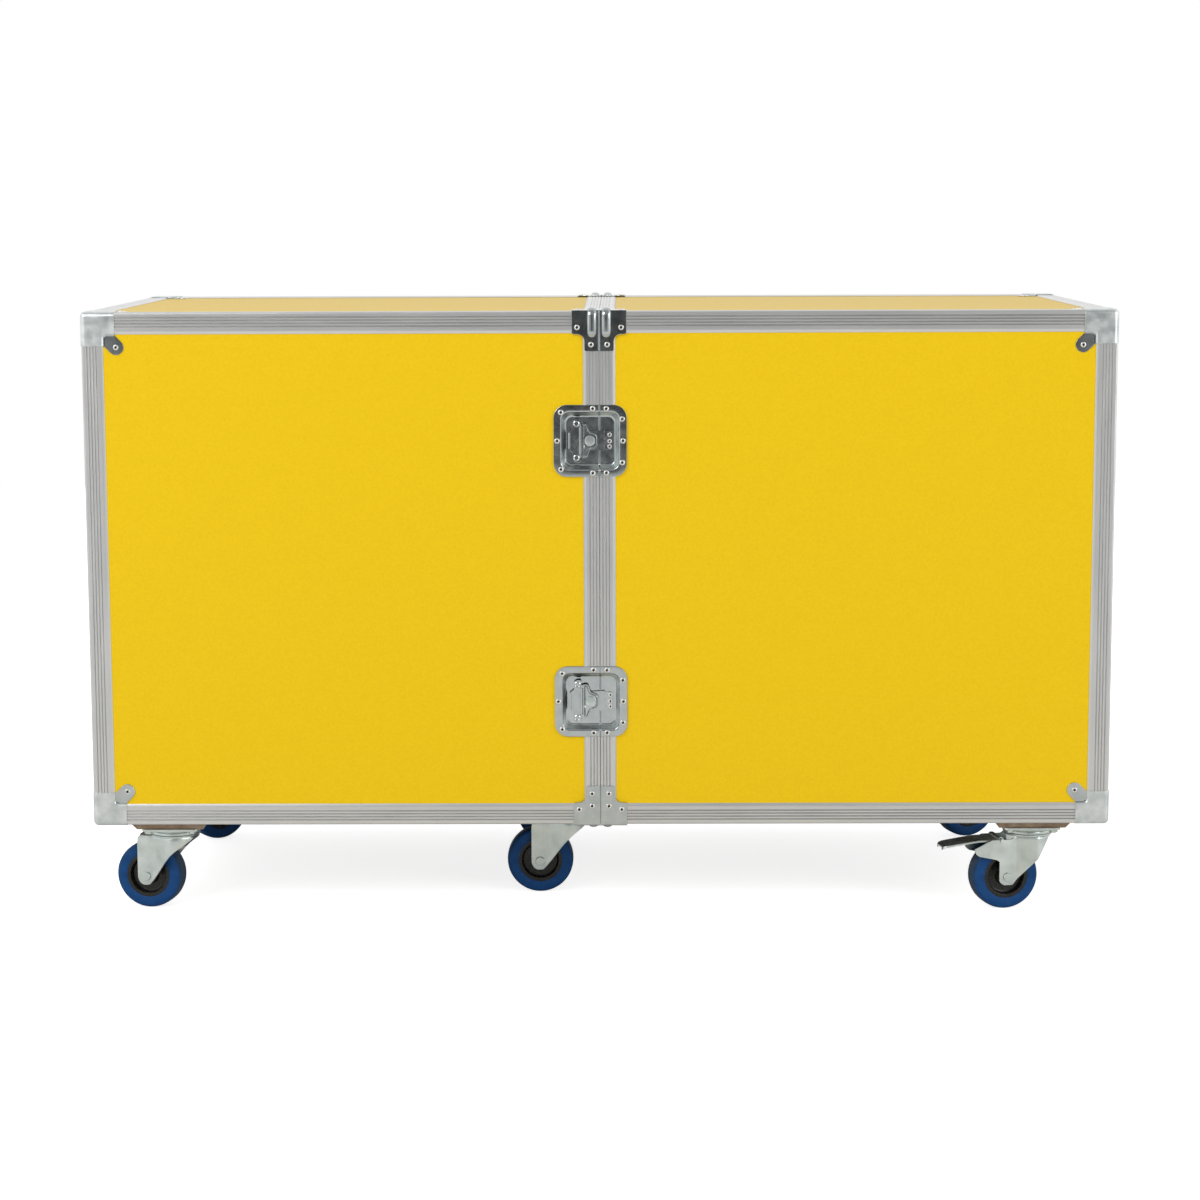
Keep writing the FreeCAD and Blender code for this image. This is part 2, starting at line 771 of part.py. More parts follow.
def hinge_leaf(side, word, number, z):
    near = d.seam_gap / 2 * side
    far = d.hinge_leaf_width * side
    x = (near, far) if side > 0 else (far, near)
    low = z - d.hinge_length / 2
    plate = box("leaf_plate_%s_%d" % (word, number), x, (rear, rear + d.hinge_plate),
                (low, low + d.hinge_length))
    third = d.hinge_length / 3
    gap = d.knuckle_gap
    if side > 0:
        spans = [(low + third + gap, third - gap * 2)]
        clear = [(low, third), (low + third * 2, third)]
    else:
        spans = [(low, third), (low + third * 2, third)]
        clear = [(low + third, third)]
    knuckles = [hinge_knuckle("knuckle_%s_%d_%d" % (word, number, i), side, start, height)
                for i, (start, height) in enumerate(spans)]
    bore = pin_hole("leaf_bore_%s_%d" % (word, number), "z", (ZERO, rear + d.hinge_axis_out, low),
                    d.hinge_pin_radius, d.hinge_length)
    room_x = (-d.knuckle_radius - gap, d.knuckle_radius + gap)
    room = [box("leaf_room_%s_%d_%d" % (word, number, i), room_x,
                (rear, rear + d.hinge_axis_out), (start - gap, start + height + gap))
            for i, (start, height) in enumerate(clear)]
    whole = fuse("leaf_whole_%s_%d" % (word, number), [plate] + knuckles)
    return cut("leaf_%s_%d" % (word, number), whole, [bore] + room)


def hinge_pin(number, z):
    start = (ZERO, rear + d.hinge_axis_out, z - d.hinge_length / 2)
    return round_bar("pin_%d" % number, "z", start, d.hinge_pin_radius, d.hinge_length)


# Latches. Local frame: middle of the dish on the extrusions' front face, Y into the case.
def latch_place(obj, height):
    return place(obj, -d.latch_offset, front, base + height)


def latch_dish(label, height):
    """Pressed dish over both halves: flange, sloping walls and floor, still in one piece."""
    plate = d.dish_plate
    rim = [rectangle(d.dish_width, d.dish_height, d.dish_corner)]
    thick = plate + d.edge_wall
    flange = prism("dish_flange_" + label, "XZ_Plane", rim, thick, -d.edge_wall)
    mouth, floor, deep = d.recess_open, d.recess_floor, d.recess_depth
    around = plate * 2
    outside = wedge("dish_outside_" + label, ZERO, deep + plate, (mouth + around, mouth + around),
                    (floor + around, floor + around))
    hollow = wedge("dish_hollow_" + label, -plate, deep, (mouth, mouth), (floor, floor))
    pieces = [latch_place(piece, height) for piece in (flange, outside, hollow)]
    half = mouth / 2 + plate + d.cutout_play
    middle = base + height
    across = (-d.closing_width, d.closing_width)
    seat = (front, front + d.edge_wall + PAST)
    tools = [pieces[2]]
    tools += [box("dish_seat_%s_%d" % (label, i), across, seat, span) for i, span in enumerate(
        ((middle + half, middle + d.dish_height), (middle - d.dish_height, middle - half)))]
    bore = (-d.latch_offset, front + deep - PAST, middle)
    tools.append(pin_hole("dish_bore_" + label, "y", bore, d.spindle_radius, plate + PAST * 2))
    return cut("dish_whole_" + label, fuse("dish_pressing_" + label, pieces[:2]), tools)


def dish_part(label, side, word, dish):
    near = d.seam_gap / 2 * side
    far = d.dish_width * side
    x = (near, far) if side > 0 else (far, near)
    room = box("dish_side_%s_%s" % (label, word), x, (front - d.dish_height, rear), (base, top))
    return common("dish_%s_%s" % (label, word), [dish, room])


def latch_keeper(label, height):
    x = (d.keeper_near, d.keeper_far)
    z = (base + height - d.keeper_height / 2, base + height + d.keeper_height / 2)
    floor = front + d.recess_depth
    foot = box("keeper_foot_" + label, x, (floor - d.keeper_plate, floor), z)
    peak = front + d.hook_depth + d.hook_plate + d.keeper_clearance
    middle = (d.keeper_near + d.keeper_far) / 2
    post = box("keeper_post_" + label, (middle, middle + d.keeper_post), (peak, floor), z)
    return fuse("keeper_" + label, [foot, post])


def latch_spindle(label, height):
    """Boss in the dish floor, the cam plate on it and the pin that the wing folds on."""
    fold = d.wing_pin_out - d.wing_curl_radius - d.latch_gap
    half = [(d.cam_tip, d.cam_nose), (ZERO, d.cam_waist), (-fold, d.cam_shoulder)]
    shape = half + [(x, -z) for x, z in reversed(half)]
    plate = prism("cam_plate_" + label, "XZ_Plane", [shape], d.cam_plate, -d.cam_depth - d.cam_plate)
    latch_place(plate, height)
    x, z = -d.latch_offset, base + height
    boss_start = front + d.cam_depth + d.cam_plate
    boss_end = front + d.recess_depth - d.latch_gap / 2
    boss = polygon_bar("cam_boss_" + label, "y", (x, boss_start, z), d.boss_radius,
                       boss_end - boss_start, d.boss_sides)
    shaft = round_bar("cam_shaft_" + label, "y", (x, boss_start, z), d.spindle_radius,
                      front + d.recess_depth + d.dish_plate - boss_start)
    pin_y = front + d.cam_depth + d.cam_plate / 2
    pin_x = x - d.wing_pin_out
    length = d.wing_curl_length / 2 + d.wing_ear_width + d.latch_gap
    fold_pin = pin("wing_pin_" + label, "z", (pin_x, pin_y, z - length), d.wing_pin_radius, length * 2)
    ears = []
    for i, sign in enumerate((-1, 1)):
        start = z + (d.wing_curl_length / 2 + d.latch_gap) * sign
        end = start + d.wing_ear_width * sign
        span = (start, end) if sign > 0 else (end, start)
        ears.append(box("wing_ear_%s_%d" % (label, i), (pin_x - d.wing_pin_radius, x - fold),
                        (front + d.cam_depth, front + d.cam_depth + d.cam_plate), span))
    return fuse("latch_spindle_" + label, [plate, boss, shaft, fold_pin] + ears)


def latch_wing(label, height):
    """Folding grip: two lobes joined by a bar, curled round the spindle's pin."""
    near = d.wing_pin_out
    ear = d.wing_curl_length / 2 + d.wing_ear_width + d.latch_gap * 2
    clear = d.wing_pin_out + d.wing_pin_radius + d.latch_gap
    lobe = [(-near, d.wing_curl_length / 2), (-clear, d.wing_curl_length / 2), (-clear, ear), (-near, ear)]
    lobe += [(-near, d.wing_rise), (-d.wing_lobe + d.wing_clip, d.wing_rise)]
    lobe += [(-d.wing_lobe, d.wing_rise - d.wing_clip), (-d.wing_lobe, d.wing_waist + d.wing_clip)]
    lobe += [(-d.wing_reach, d.wing_waist)]
    shape = lobe + [(x, -z) for x, z in reversed(lobe)]
    plate = prism("wing_plate_" + label, "XZ_Plane", [shape], d.cam_plate, -d.cam_depth - d.cam_plate)
    latch_place(plate, height)
    x, z = -d.latch_offset - d.wing_pin_out, base + height
    pin_y = front + d.cam_depth + d.cam_plate / 2
    start = (x, pin_y, z - d.wing_curl_length / 2)
    curl = pin("wing_curl_" + label, "z", start, d.wing_curl_radius, d.wing_curl_length)
    bore = pin_hole("wing_bore_" + label, "z", start, d.wing_pin_radius, d.wing_curl_length)
    return cut("latch_wing_" + label, fuse("wing_whole_" + label, [plate, curl]), [bore])


def latch_hook(label, height):
    """Sliding plate slotted round the boss, with its nose over the keeper."""
    half, clip = d.hook_width / 2, d.hook_clip
    shape = [(-d.hook_tail, -half + clip), (-d.hook_tail + clip, -half), (d.hook_reach, -half)]
    shape += [(x, -z) for x, z in reversed(shape)]
    slot = d.boss_radius + d.latch_gap
    ends = [(slot, slot / 2), (slot / 2, slot)]
    ends += [(-slot / 2 - d.hook_travel, slot), (-slot - d.hook_travel, slot / 2)]
    hole = ends + [(x, -z) for x, z in reversed(ends)]
    start = -d.hook_depth - d.hook_plate
    plate = prism("latch_hook_" + label, "XZ_Plane", [shape, hole], d.hook_plate, start)
    return latch_place(plate, height)


# Castors. Local frame: swivel axis at the origin, floor at zero, the wheel trails towards -X.
def castor_pad(name, spot, width):
    """Bevelled plywood pad over a castor's top plate, packed up to the bottom panel."""
    narrower = d.pad_bevel * 2
    board = wedge("pad_board_" + name, ZERO, d.pad_thickness,
                  (width - narrower, d.pad_width - narrower), (width, d.pad_width))
    board.Placement.Rotation = FreeCAD.Rotation(AXES["x"], 90)
    x, y = spot
    place(board, x, y, d.castor_height)
    half = d.packing_width / 2
    packing = box("pad_packing_" + name, (x - half, x + half), (y - half, y + half),
                  (base, base + d.edge_wall))
    return fuse("castor_pad_" + name, [board, packing])


def castor_plate(name, spot):
    """Top plate, pressed ball race and king pin, all fixed to the case."""
    x, y = spot
    low = d.castor_height - d.plate_thickness
    half_l, half_w = d.plate_length / 2, d.plate_width / 2
    plate = box("top_plate_" + name, (x - half_w, x + half_w), (y - half_l, y + half_l),
                (low, d.castor_height))
    race = round_bar("race_" + name, "z", (x, y, low - d.race_height), d.race_radius, d.race_height)
    pin_low = crown_top() - d.fork_plate - d.race_gap
    king = pin("king_" + name, "z", (x, y, pin_low), d.king_radius, low - pin_low)
    head = polygon_bar("king_head_" + name, "z", (x, y, pin_low - d.king_head), d.king_head_radius,
                       d.king_head, d.hex_sides)
    return fuse("castor_plate_" + name, [plate, race, king, head])


def crown_top():
    return d.castor_height - d.plate_thickness - d.race_height - d.race_gap


def fork_outline(braked):
    """Side view of the fork: a leg round the axle, a sloping edge up to the heel, the crown."""
    axle_x, axle_z = -d.trail, d.wheel_radius
    leg, clip = d.fork_leg, d.fork_clip
    low = axle_z - leg
    high = crown_top()
    toe = axle_x + d.fork_toe
    shape = [(toe - clip, low), (toe, low + clip / 2)]
    shape += [(d.fork_back, high - d.fork_skirt), (d.fork_back, high)]
    heel = axle_x - leg
    if braked:
        tip = axle_x - d.nose_reach
        shape += [(axle_x - d.nose_root, high), (tip, high - d.nose_tip), (tip, high - d.nose_drop)]
        shape += [(heel - clip, high - d.nose_root), (heel, high - d.nose_root - clip)]
    else:
        shape += [(heel + d.fork_lean, high)]
    return shape + [(heel, low + clip), (heel + clip, low)]


def castor_fork(name, braked):
    """Pressed fork with its axle: a channel with a round crown, bored for the king pin."""
    width = d.fork_inner + d.fork_plate * 2
    high = crown_top()
    channel = new_body("fork_channel_" + name)
    sketch = new_sketch(channel, "XZ_Plane", [fork_outline(braked)], -width / 2)
    blank = pad(channel, sketch, width)
    doc.recompute()
    names = edges_where(blank.Shape, lambda p: abs(p.z - high.value) < SAME)
    names = [edge for edge in names if abs(blank.Shape.getElement(edge).tangentAt(0).x) > PARALLEL]
    bevel(channel, blank, names, d.crown_fold)
    crown = polygon_bar("fork_crown_" + name, "z", (ZERO, ZERO, high - d.fork_plate), d.crown_radius,
                        d.fork_plate, d.crown_sides)
    reach = d.trail + d.nose_reach + d.fork_leg
    inside = (-d.fork_inner / 2, d.fork_inner / 2)
    along = (-reach, d.fork_back + d.fork_leg)
    tools = [box("fork_inside_" + name, along, inside, (ZERO, high - d.fork_plate))]
    tools.append(pin_hole("fork_king_" + name, "z", (ZERO, ZERO, high - d.fork_plate - PAST),
                          d.king_radius, d.fork_plate + PAST * 2))
    pieces = castor_axle(name, width)
    if braked:
        slot_x = (-reach, -d.trail - d.pedal_pivot_back + d.pedal_slot)
        tools.append(box("fork_slot_" + name, slot_x, inside, (high - d.nose_root, high + PAST)))
        pivot = (-d.trail - d.pedal_pivot_back, -width / 2, d.pedal_pivot_height)
        pieces.append(pin("pedal_pin_" + name, "y", pivot, d.pedal_pin_radius, width))
    pressing = cut("fork_pressing_" + name, fuse("fork_whole_" + name, [channel, crown]), tools)
    return fuse("castor_fork_" + name, [pressing] + pieces)


def castor_axle(name, width):
    """Axle across the fork's legs with a hexagon head on each side."""
    start = (-d.trail, -width / 2, d.wheel_radius)
    pieces = [round_bar("axle_shaft_" + name, "y", start, d.axle_radius, width)]
    for i, y in enumerate((-width / 2 - d.axle_head, width / 2)):
        pieces.append(polygon_bar("axle_head_%s_%d" % (name, i), "y", (-d.trail, y, d.wheel_radius),
                                  d.axle_head_radius, d.axle_head, d.hex_sides))
    return pieces


def brake_pedal(name):
    """Bent plate over the wheel, hung on the pin across the fork."""
    x = -d.trail - d.pedal_pivot_back
    z = d.pedal_pivot_height
    thick = d.pedal_plate
    eye = d.pedal_pin_radius + d.pedal_eye
    knee = x - d.pedal_knee + d.pedal_pivot_back
    end = x - d.pedal_reach
    rise = z - thick / 2
    shape = [(x, rise), (x, rise + thick), (knee, rise + thick), (end, rise + thick - d.pedal_drop)]
    shape += [(end, rise - d.pedal_drop), (knee, rise)]
    plate = prism("pedal_plate_" + name, "XZ_Plane", [shape], d.pedal_width, -d.pedal_width / 2)
    near, far = x - d.shoe_start, x - d.shoe_start - d.shoe_length
    across = (-d.shoe_width / 2, d.shoe_width / 2)
    shoe = box("pedal_shoe_" + name, (far, near), across, (rise - d.shoe_drop, rise))
    start = (x, -d.pedal_width / 2, z)
    barrel = pin("pedal_barrel_" + name, "y", start, eye, d.pedal_width)
    bore = pin_hole("pedal_bore_" + name, "y", start, d.pedal_pin_radius, d.pedal_width)
    return cut("brake_pedal_" + name, fuse("pedal_whole_" + name, [plate, barrel, shoe]), [bore])


def tyre(name):
    """Tyre as a many-sided ring with chamfered shoulders, on the hub's rim."""
    half = d.wheel_width / 2
    body = new_body(name)
    ring = wheel_prism(body, "Additive", d.wheel_radius, -half, d.wheel_width, d.wheel_sides)
    doc.recompute()
    edges = edges_where(ring.Shape, lambda p: True)
    ends = [edge for edge in edges if abs(ring.Shape.getElement(edge).tangentAt(0).y) < PARALLEL]
    bevel(body, ring, ends, d.shoulder)
    wheel_prism(body, "Subtractive", d.tyre_bore, -half, d.wheel_width, d.hub_sides)
    return body


def hub(name):
    """Rim under the tyre, web and a long boss, with a running bore for the axle."""
    body = new_body(name)
    half, boss = d.hub_width / 2, d.hub_boss_width / 2
    dish = (d.hub_width - d.hub_web) / 2
    inner = d.tyre_bore - d.hub_rim
    wheel_prism(body, "Additive", d.tyre_bore, -half, d.hub_width, d.hub_sides)
    wheel_prism(body, "Subtractive", inner, -half, dish, d.hub_sides)
    wheel_prism(body, "Subtractive", inner, half - dish, dish, d.hub_sides)
    wheel_prism(body, "Additive", d.hub_boss_radius, -boss, d.hub_boss_width, d.hub_boss_sides)
    bore = (d.axle_radius + d.running_fit) / math.cos(math.pi / d.pin_sides.value)
    wheel_prism(body, "Subtractive", bore, -boss, d.hub_boss_width, d.pin_sides)
    return body


def wheel_prism(body, kind, radius, start, length, sides):
    """Many-sided disc added to or cut from a wheel, along its axle from a start."""
    feature = body.newObject("PartDesign::%sPrism" % kind, body.Name + "_disc")
    bind(feature, "Polygon", sides)
    bind(feature, "Circumradius", radius)
    bind(feature, "Height", length)
    return along_axle(body, feature, start)


def along_axle(body, feature, start):
    """Stand a feature on the wheel's middle plane, moved along the axle."""
    support = [plane for plane in body.Origin.OriginFeatures if plane.Role == "XZ_Plane"][0]
    feature.AttachmentSupport = [(support, "")]
    feature.MapMode = "FlatFace"
    bind(feature, "AttachmentOffset.Base.z", start)
    return feature


def castor(name, braked):
    """Moving nodes of one castor, in its own frame."""
    nodes = [castor_fork(name, braked), tyre("castor_tyre_" + name), hub("castor_hub_" + name)]
    if braked:
        nodes.append(brake_pedal(name))
    return nodes


# Recessed handle in an end panel. Local frame: its middle on the case's end plane, X inwards.
def handle_dish(side, word):
    """Pressed dish in the end panel with two ears for the bail."""
    plate = d.handle_plate
    sit = d.edge_wall - plate
    deep = d.handle_depth
    length, tall, draft = d.handle_open_length, d.handle_open_tall, d.handle_draft * 2
    rim = [clipped(d.handle_length, d.handle_tall, d.handle_corner)]
    flange = prism("handle_flange_" + word, "YZ_Plane", rim, plate, sit)
    outer_l, outer_t = length + plate * 2, tall + plate * 2
    outside = wedge("handle_outside_" + word, d.edge_wall, deep + plate, (outer_l, outer_t),
                    (outer_l - draft, outer_t - draft))
    hollow = wedge("handle_hollow_" + word, sit, deep, (length, tall), (length - draft, tall - draft))
    for piece in (outside, hollow):
        piece.Placement.Rotation = FreeCAD.Rotation(AXES["z"], -90)
    shell = cut("handle_shell_" + word, fuse("handle_pressing_" + word, [flange, outside]), [hollow])
    axis_x = deep - d.bail_radius - d.bail_clearance
    ears = []
    for i, sign in enumerate((-1, 1)):
        near = (d.bail_half + d.bail_radius + d.bail_clearance) * sign
        far = near + d.bail_ear * sign
        y = (near, far) if sign > 0 else (far, near)
        rise = (d.bail_rise - d.bail_ear_half, d.bail_rise + d.bail_ear_half)
        ears.append(box("bail_ear_%s_%d" % (word, i), (axis_x - d.bail_ear, deep), y, rise))
    reach = d.bail_half + d.bail_radius + d.bail_ear + d.bail_clearance
    bore = pin_hole("bail_bore_" + word, "y", (axis_x, -reach, d.bail_rise), d.bail_axle_radius, reach * 2)
    dish = cut("handle_cut_" + word, fuse("handle_whole_" + word, [shell] + ears), [bore])
    return handle_place(dish, side, word)


def handle_place(piece, side, word):
    """Handle piece set on the left end, or its mirror image on the right end."""
    seated = group(piece.Name + "_seated", [piece])
    place(seated, left, middle_y, base + d.handle_height)
    if side < 0:
        return seated
    return mirrored(piece.Name + "_right", seated, "x", 0)


def handle_bail(side, word):
    """Lifting bail: a flat steel bow with a round grip and two short axles in the ears."""
    axis_x = d.handle_depth - d.bail_radius - d.bail_clearance
    half, wide = d.bail_half, d.bail_radius
    head, low = d.bail_rise + d.bail_head, d.bail_rise - d.bail_drop
    bow = [(-half - wide, head), (-half - wide, low), (half + wide, low), (half + wide, head)]
    bow += [(half - wide, head), (half - wide, low + wide), (wide - half, low + wide), (wide - half, head)]
    thick = d.bail_plate
    pieces = [prism("bail_bow_" + word, "YZ_Plane", [bow], thick, axis_x - thick / 2)]
    grip_start = (axis_x, wide - half, low + wide / 2)
    pieces.append(pin("bail_grip_" + word, "y", grip_start, d.bail_radius, half * 2 - wide * 2))
    reach = d.bail_ear + d.bail_clearance
    for i, start in enumerate((-half - wide - reach, half + wide)):
        pieces.append(pin("bail_axle_%s_%d" % (word, i), "y", (axis_x, start, d.bail_rise),
                          d.bail_axle_radius, reach))
    return handle_place(fuse("bail_" + word, pieces), side, word)


CASTORS = {
    "front_left": (left + d.castor_end_inset, front + d.castor_front_inset, d.turn_front_left),
    "rear_left": (left + d.rear_left_end_inset, rear - d.castor_rear_inset, d.turn_rear_left),
    "middle_front": (-d.middle_seam_inset, front + d.middle_inset, d.turn_middle_front),
    "middle_rear": (-d.middle_seam_inset, rear - d.middle_inset, d.turn_middle_rear),
    "front_right": (right - d.castor_end_inset, front + d.castor_front_inset, d.turn_front_right),
    "rear_right": (right - d.castor_end_inset, rear - d.castor_rear_inset, d.turn_rear_right),
}

nodes = {}


def node(name, obj):
    """Give a finished piece the label that names its file."""
    obj.Label = name
    nodes[name] = obj


def build_shell():
    cap = corner_cap()
    caps = group("corner_caps_left", four_ways("cap", cap))
    upper, lower = upper_brace(), lower_brace()
    braces = [upper, lower]
    braces += [mirrored("brace_%s_rear" % word, piece, "y", middle_y)
               for word, piece in (("top", upper), ("low", lower))]
    braces = group("seam_braces_left", braces)
    edges = edge_extrusions_left()
    for side, word in ((-1, "left"), (1, "right")):
        for panel in half_panels(side, word):
            node(panel.Name, panel)
        front_post, frame = closing_frame(side, word)
        node("closing_post_" + word, front_post)
        node("closing_frame_" + word, frame)
    for name, piece in (("edge_extrusions", edges), ("corner_caps", caps), ("seam_braces", braces)):
        node(name + "_left", piece)
        node(name + "_right", mirrored(name + "_right", piece, "x", 0))


def build_hinges():
    heights = hinge_heights()
    for side, word in ((-1, "left"), (1, "right")):
        leaves = [hinge_leaf(side, word, i, z) for i, z in enumerate(heights)]
        node("hinge_leaves_" + word, group("hinge_leaves_" + word, leaves))
    node("hinge_pins", group("hinge_pins", [hinge_pin(i, z) for i, z in enumerate(heights)]))


def build_latches():
    parts = {"latch_dishes_left": [], "latch_dishes_right": [], "latch_keepers": []}
    for label, height in (("upper", d.latch_upper), ("lower", d.latch_lower)):
        dish = latch_dish(label, height)
        parts["latch_dishes_left"].append(dish_part(label, -1, "left", dish))
        parts["latch_dishes_right"].append(dish_part(label, 1, "right", dish))
        parts["latch_keepers"].append(latch_keeper(label, height))
        node("latch_spindle_" + label, latch_spindle(label, height))
        node("latch_wing_" + label, latch_wing(label, height))
        node("latch_hook_" + label, latch_hook(label, height))
    for name, pieces in parts.items():
        node(name, group(name, pieces))


def build_castors():
    fixed = {"left": ([], []), "right": ([], [])}
    for name, (x, y, angle) in CASTORS.items():
        half = "right" if name.endswith("right") else "left"
        width = d.middle_pad_width if name.startswith("middle") else d.pad_width
        fixed[half][0].append(castor_pad(name, (x, y), width))
        fixed[half][1].append(castor_plate(name, (x, y)))
        for piece in castor(name, half == "right"):
            seat_castor(piece, x, y, angle)
            node(piece.Name, piece)
    for half, (pads, plates) in fixed.items():
        node("castor_pads_" + half, group("castor_pads_" + half, pads))
        node("castor_plates_" + half, group("castor_plates_" + half, plates))


def seat_castor(piece, x, y, angle):
    """Turn a castor piece about its swivel axis; wheels are moved to their axle first."""
    piece.Placement.Rotation = FreeCAD.Rotation(AXES["z"], 0)
    bind(piece, "Placement.Rotation.Angle", angle)
    if piece.Name.startswith(("castor_tyre", "castor_hub")):
        turned = math.radians(angle.value)
        x = x - d.trail * math.cos(turned)
        y = y - d.trail * math.sin(turned)
        place(piece, x, y, d.wheel_radius)
    else:
        place(piece, x, y, 0)


def build_handles():
    for side, word in ((-1, "left"), (1, "right")):
        node("handle_dish_" + word, handle_dish(side, word))
        node("handle_bail_" + word, handle_bail(side, word))


def check_document():
    doc.recompute()
    failed = [obj.Name for obj in doc.Objects if {"Invalid", "Error"} & set(obj.State)]
    if failed:
        raise RuntimeError("failed objects: " + ", ".join(failed))
    for name, obj in nodes.items():
        if obj.Shape.isNull() or not obj.Shape.isValid():
            raise RuntimeError("bad shape: " + name)


def export():
    os.makedirs("parts", exist_ok=True)
    for name, obj in nodes.items():
        obj.Shape.exportStep(os.path.join("parts", name + ".step"))


build_shell()
build_hinges()
build_latches()
build_castors()
build_handles()
check_document()
export()
print("nodes", len(nodes), "solids", sum(len(obj.Shape.Solids) for obj in nodes.values()))
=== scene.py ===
# %% [markdown]
# # A wheeled drum case that opens in the middle
# The case is a plywood box in aluminium rails, split by an upright seam. The left half stands on four
# castors. The right half hangs on hinges behind the seam and rolls on two braked castors. Two recessed
# latches pull the halves together. The construction comes ready as solids: this file gives it its looks.
# Flat walls keep their solids and only get a finish. What is extruded, pressed or turned on the
# real case is made again here with round edges, because metal is read by the highlights on its edges.

# %% Load the solids and note their box
import json
import math
import bmesh
import bpy
from mathutils import Matrix, Vector

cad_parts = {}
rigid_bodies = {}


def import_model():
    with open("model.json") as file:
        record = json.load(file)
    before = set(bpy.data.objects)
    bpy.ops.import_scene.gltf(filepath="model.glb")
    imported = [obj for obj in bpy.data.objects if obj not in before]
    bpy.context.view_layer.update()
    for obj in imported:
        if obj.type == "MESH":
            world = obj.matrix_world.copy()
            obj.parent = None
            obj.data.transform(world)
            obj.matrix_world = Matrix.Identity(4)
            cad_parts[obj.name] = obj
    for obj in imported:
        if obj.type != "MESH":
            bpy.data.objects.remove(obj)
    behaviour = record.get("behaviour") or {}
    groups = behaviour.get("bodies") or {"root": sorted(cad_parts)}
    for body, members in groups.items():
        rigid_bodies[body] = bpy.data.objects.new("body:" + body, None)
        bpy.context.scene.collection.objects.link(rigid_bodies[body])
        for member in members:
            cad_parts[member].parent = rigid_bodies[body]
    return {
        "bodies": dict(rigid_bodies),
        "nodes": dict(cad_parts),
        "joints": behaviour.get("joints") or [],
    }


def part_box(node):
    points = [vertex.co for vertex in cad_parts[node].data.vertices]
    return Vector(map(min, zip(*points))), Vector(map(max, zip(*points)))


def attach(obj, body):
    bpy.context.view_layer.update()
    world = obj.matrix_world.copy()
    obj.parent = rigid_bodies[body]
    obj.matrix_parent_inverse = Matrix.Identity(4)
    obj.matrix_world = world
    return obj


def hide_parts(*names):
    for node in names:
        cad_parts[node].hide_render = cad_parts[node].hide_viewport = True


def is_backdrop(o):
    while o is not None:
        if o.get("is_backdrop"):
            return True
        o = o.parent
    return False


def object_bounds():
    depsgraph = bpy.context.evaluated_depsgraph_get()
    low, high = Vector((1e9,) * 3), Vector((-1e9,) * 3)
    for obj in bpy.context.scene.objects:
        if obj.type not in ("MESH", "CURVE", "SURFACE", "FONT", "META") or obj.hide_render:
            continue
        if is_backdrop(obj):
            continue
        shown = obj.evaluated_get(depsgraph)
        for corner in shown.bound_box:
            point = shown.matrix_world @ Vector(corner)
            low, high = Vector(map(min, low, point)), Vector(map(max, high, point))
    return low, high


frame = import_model()
cad_low, cad_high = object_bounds()
nodes = frame["nodes"]
joints = {joint["name"]: joint for joint in frame["joints"]}

# %% [markdown]
# ## Places to build from
# Every piece takes its place from the solids, so nothing has to be fitted by eye. The work is done in
# millimetres, the unit on a drawing of such a case, and each mesh is scaled to metres when it is finished.

# %% Places on the case, in millimetres
MM = 0.001
SIDES = {"left": -1, "right": 1}
edge_low, edge_high = [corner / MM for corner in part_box("edge_extrusions_left")]
front, rear = edge_low.y, edge_high.y
base, top = edge_low.z, edge_high.z
half_length = -edge_low.x
middle_y = (front + rear) / 2
seam_gap = 0.15
panel_drop = (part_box("panel_front_left")[0].y / MM) - front
print("case", round(half_length * 2), "x", round(rear - front), "x", round(top - base), "mm")


def joint_point(name):
    """Where a joint's axis passes, in millimetres."""
    return Vector(joints[name]["pos_m"]) / MM


# %% [markdown]
# ## A camera where the photographer stood
# Vanishing lines of the case give the lens and the place of the camera: about four metres in front of it,
# a little above its top, looking down by eight degrees. The picture is square, so a 36 mm sensor with an
# 86.4 mm lens sees the same frame.

# %% Camera
LENS, SENSOR = 86.4, 36
CAMERA_SPOT = Vector((28.8, -4450.9, 1047.6)) * MM
PITCH, YAW, ROLL = [math.radians(angle) for angle in (-8.0, 0.398, -0.191)]
camera_data = bpy.data.cameras.new("camera")
camera_data.lens = LENS
camera_data.sensor_width = SENSOR
camera = bpy.data.objects.new("camera", camera_data)
bpy.context.scene.collection.objects.link(camera)
level = Matrix.Rotation(math.radians(90), 4, "X")
aim = Matrix.Rotation(YAW, 4, "Z") @ Matrix.Rotation(PITCH, 4, "X") @ level
camera.matrix_world = Matrix.Translation(CAMERA_SPOT) @ aim @ Matrix.Rotation(ROLL, 4, "Z")
bpy.context.scene.camera = camera
print("camera", [round(v, 3) for v in camera.location], "lens", camera_data.lens)

# %% [markdown]
# ## Small tools for finishes
# Each finish is a Principled shader whose colour, roughness and bump vary over the surface. The textures
# read object coordinates, which stay on a piece when it moves. A value that is the same all over is set
# on the shader's own socket.

# %% Shader tools
COATING_IOR = 1.45


def new_finish(name, metallic, roughness):
    """Material with one Principled shader; gives the material, its node tree and the shader."""
    finish = bpy.data.materials.new(name)
    finish.use_nodes = True
    tree = finish.node_tree
    shader = tree.nodes["Principled BSDF"]
    shader.inputs["Metallic"].default_value = metallic
    shader.inputs["Roughness"].default_value = roughness
    shader.inputs["IOR"].default_value = COATING_IOR
    return finish, tree, shader


def object_place(tree):
    """Object coordinates, in metres on the piece itself."""
    return tree.nodes.new("ShaderNodeTexCoord").outputs["Object"]


def stretched(tree, place, scale):
    """The same coordinates, stretched by a scale on each axis."""
    mapping = tree.nodes.new("ShaderNodeMapping")
    mapping.inputs["Scale"].default_value = scale
    tree.links.new(place, mapping.inputs["Vector"])
    return mapping.outputs["Vector"]


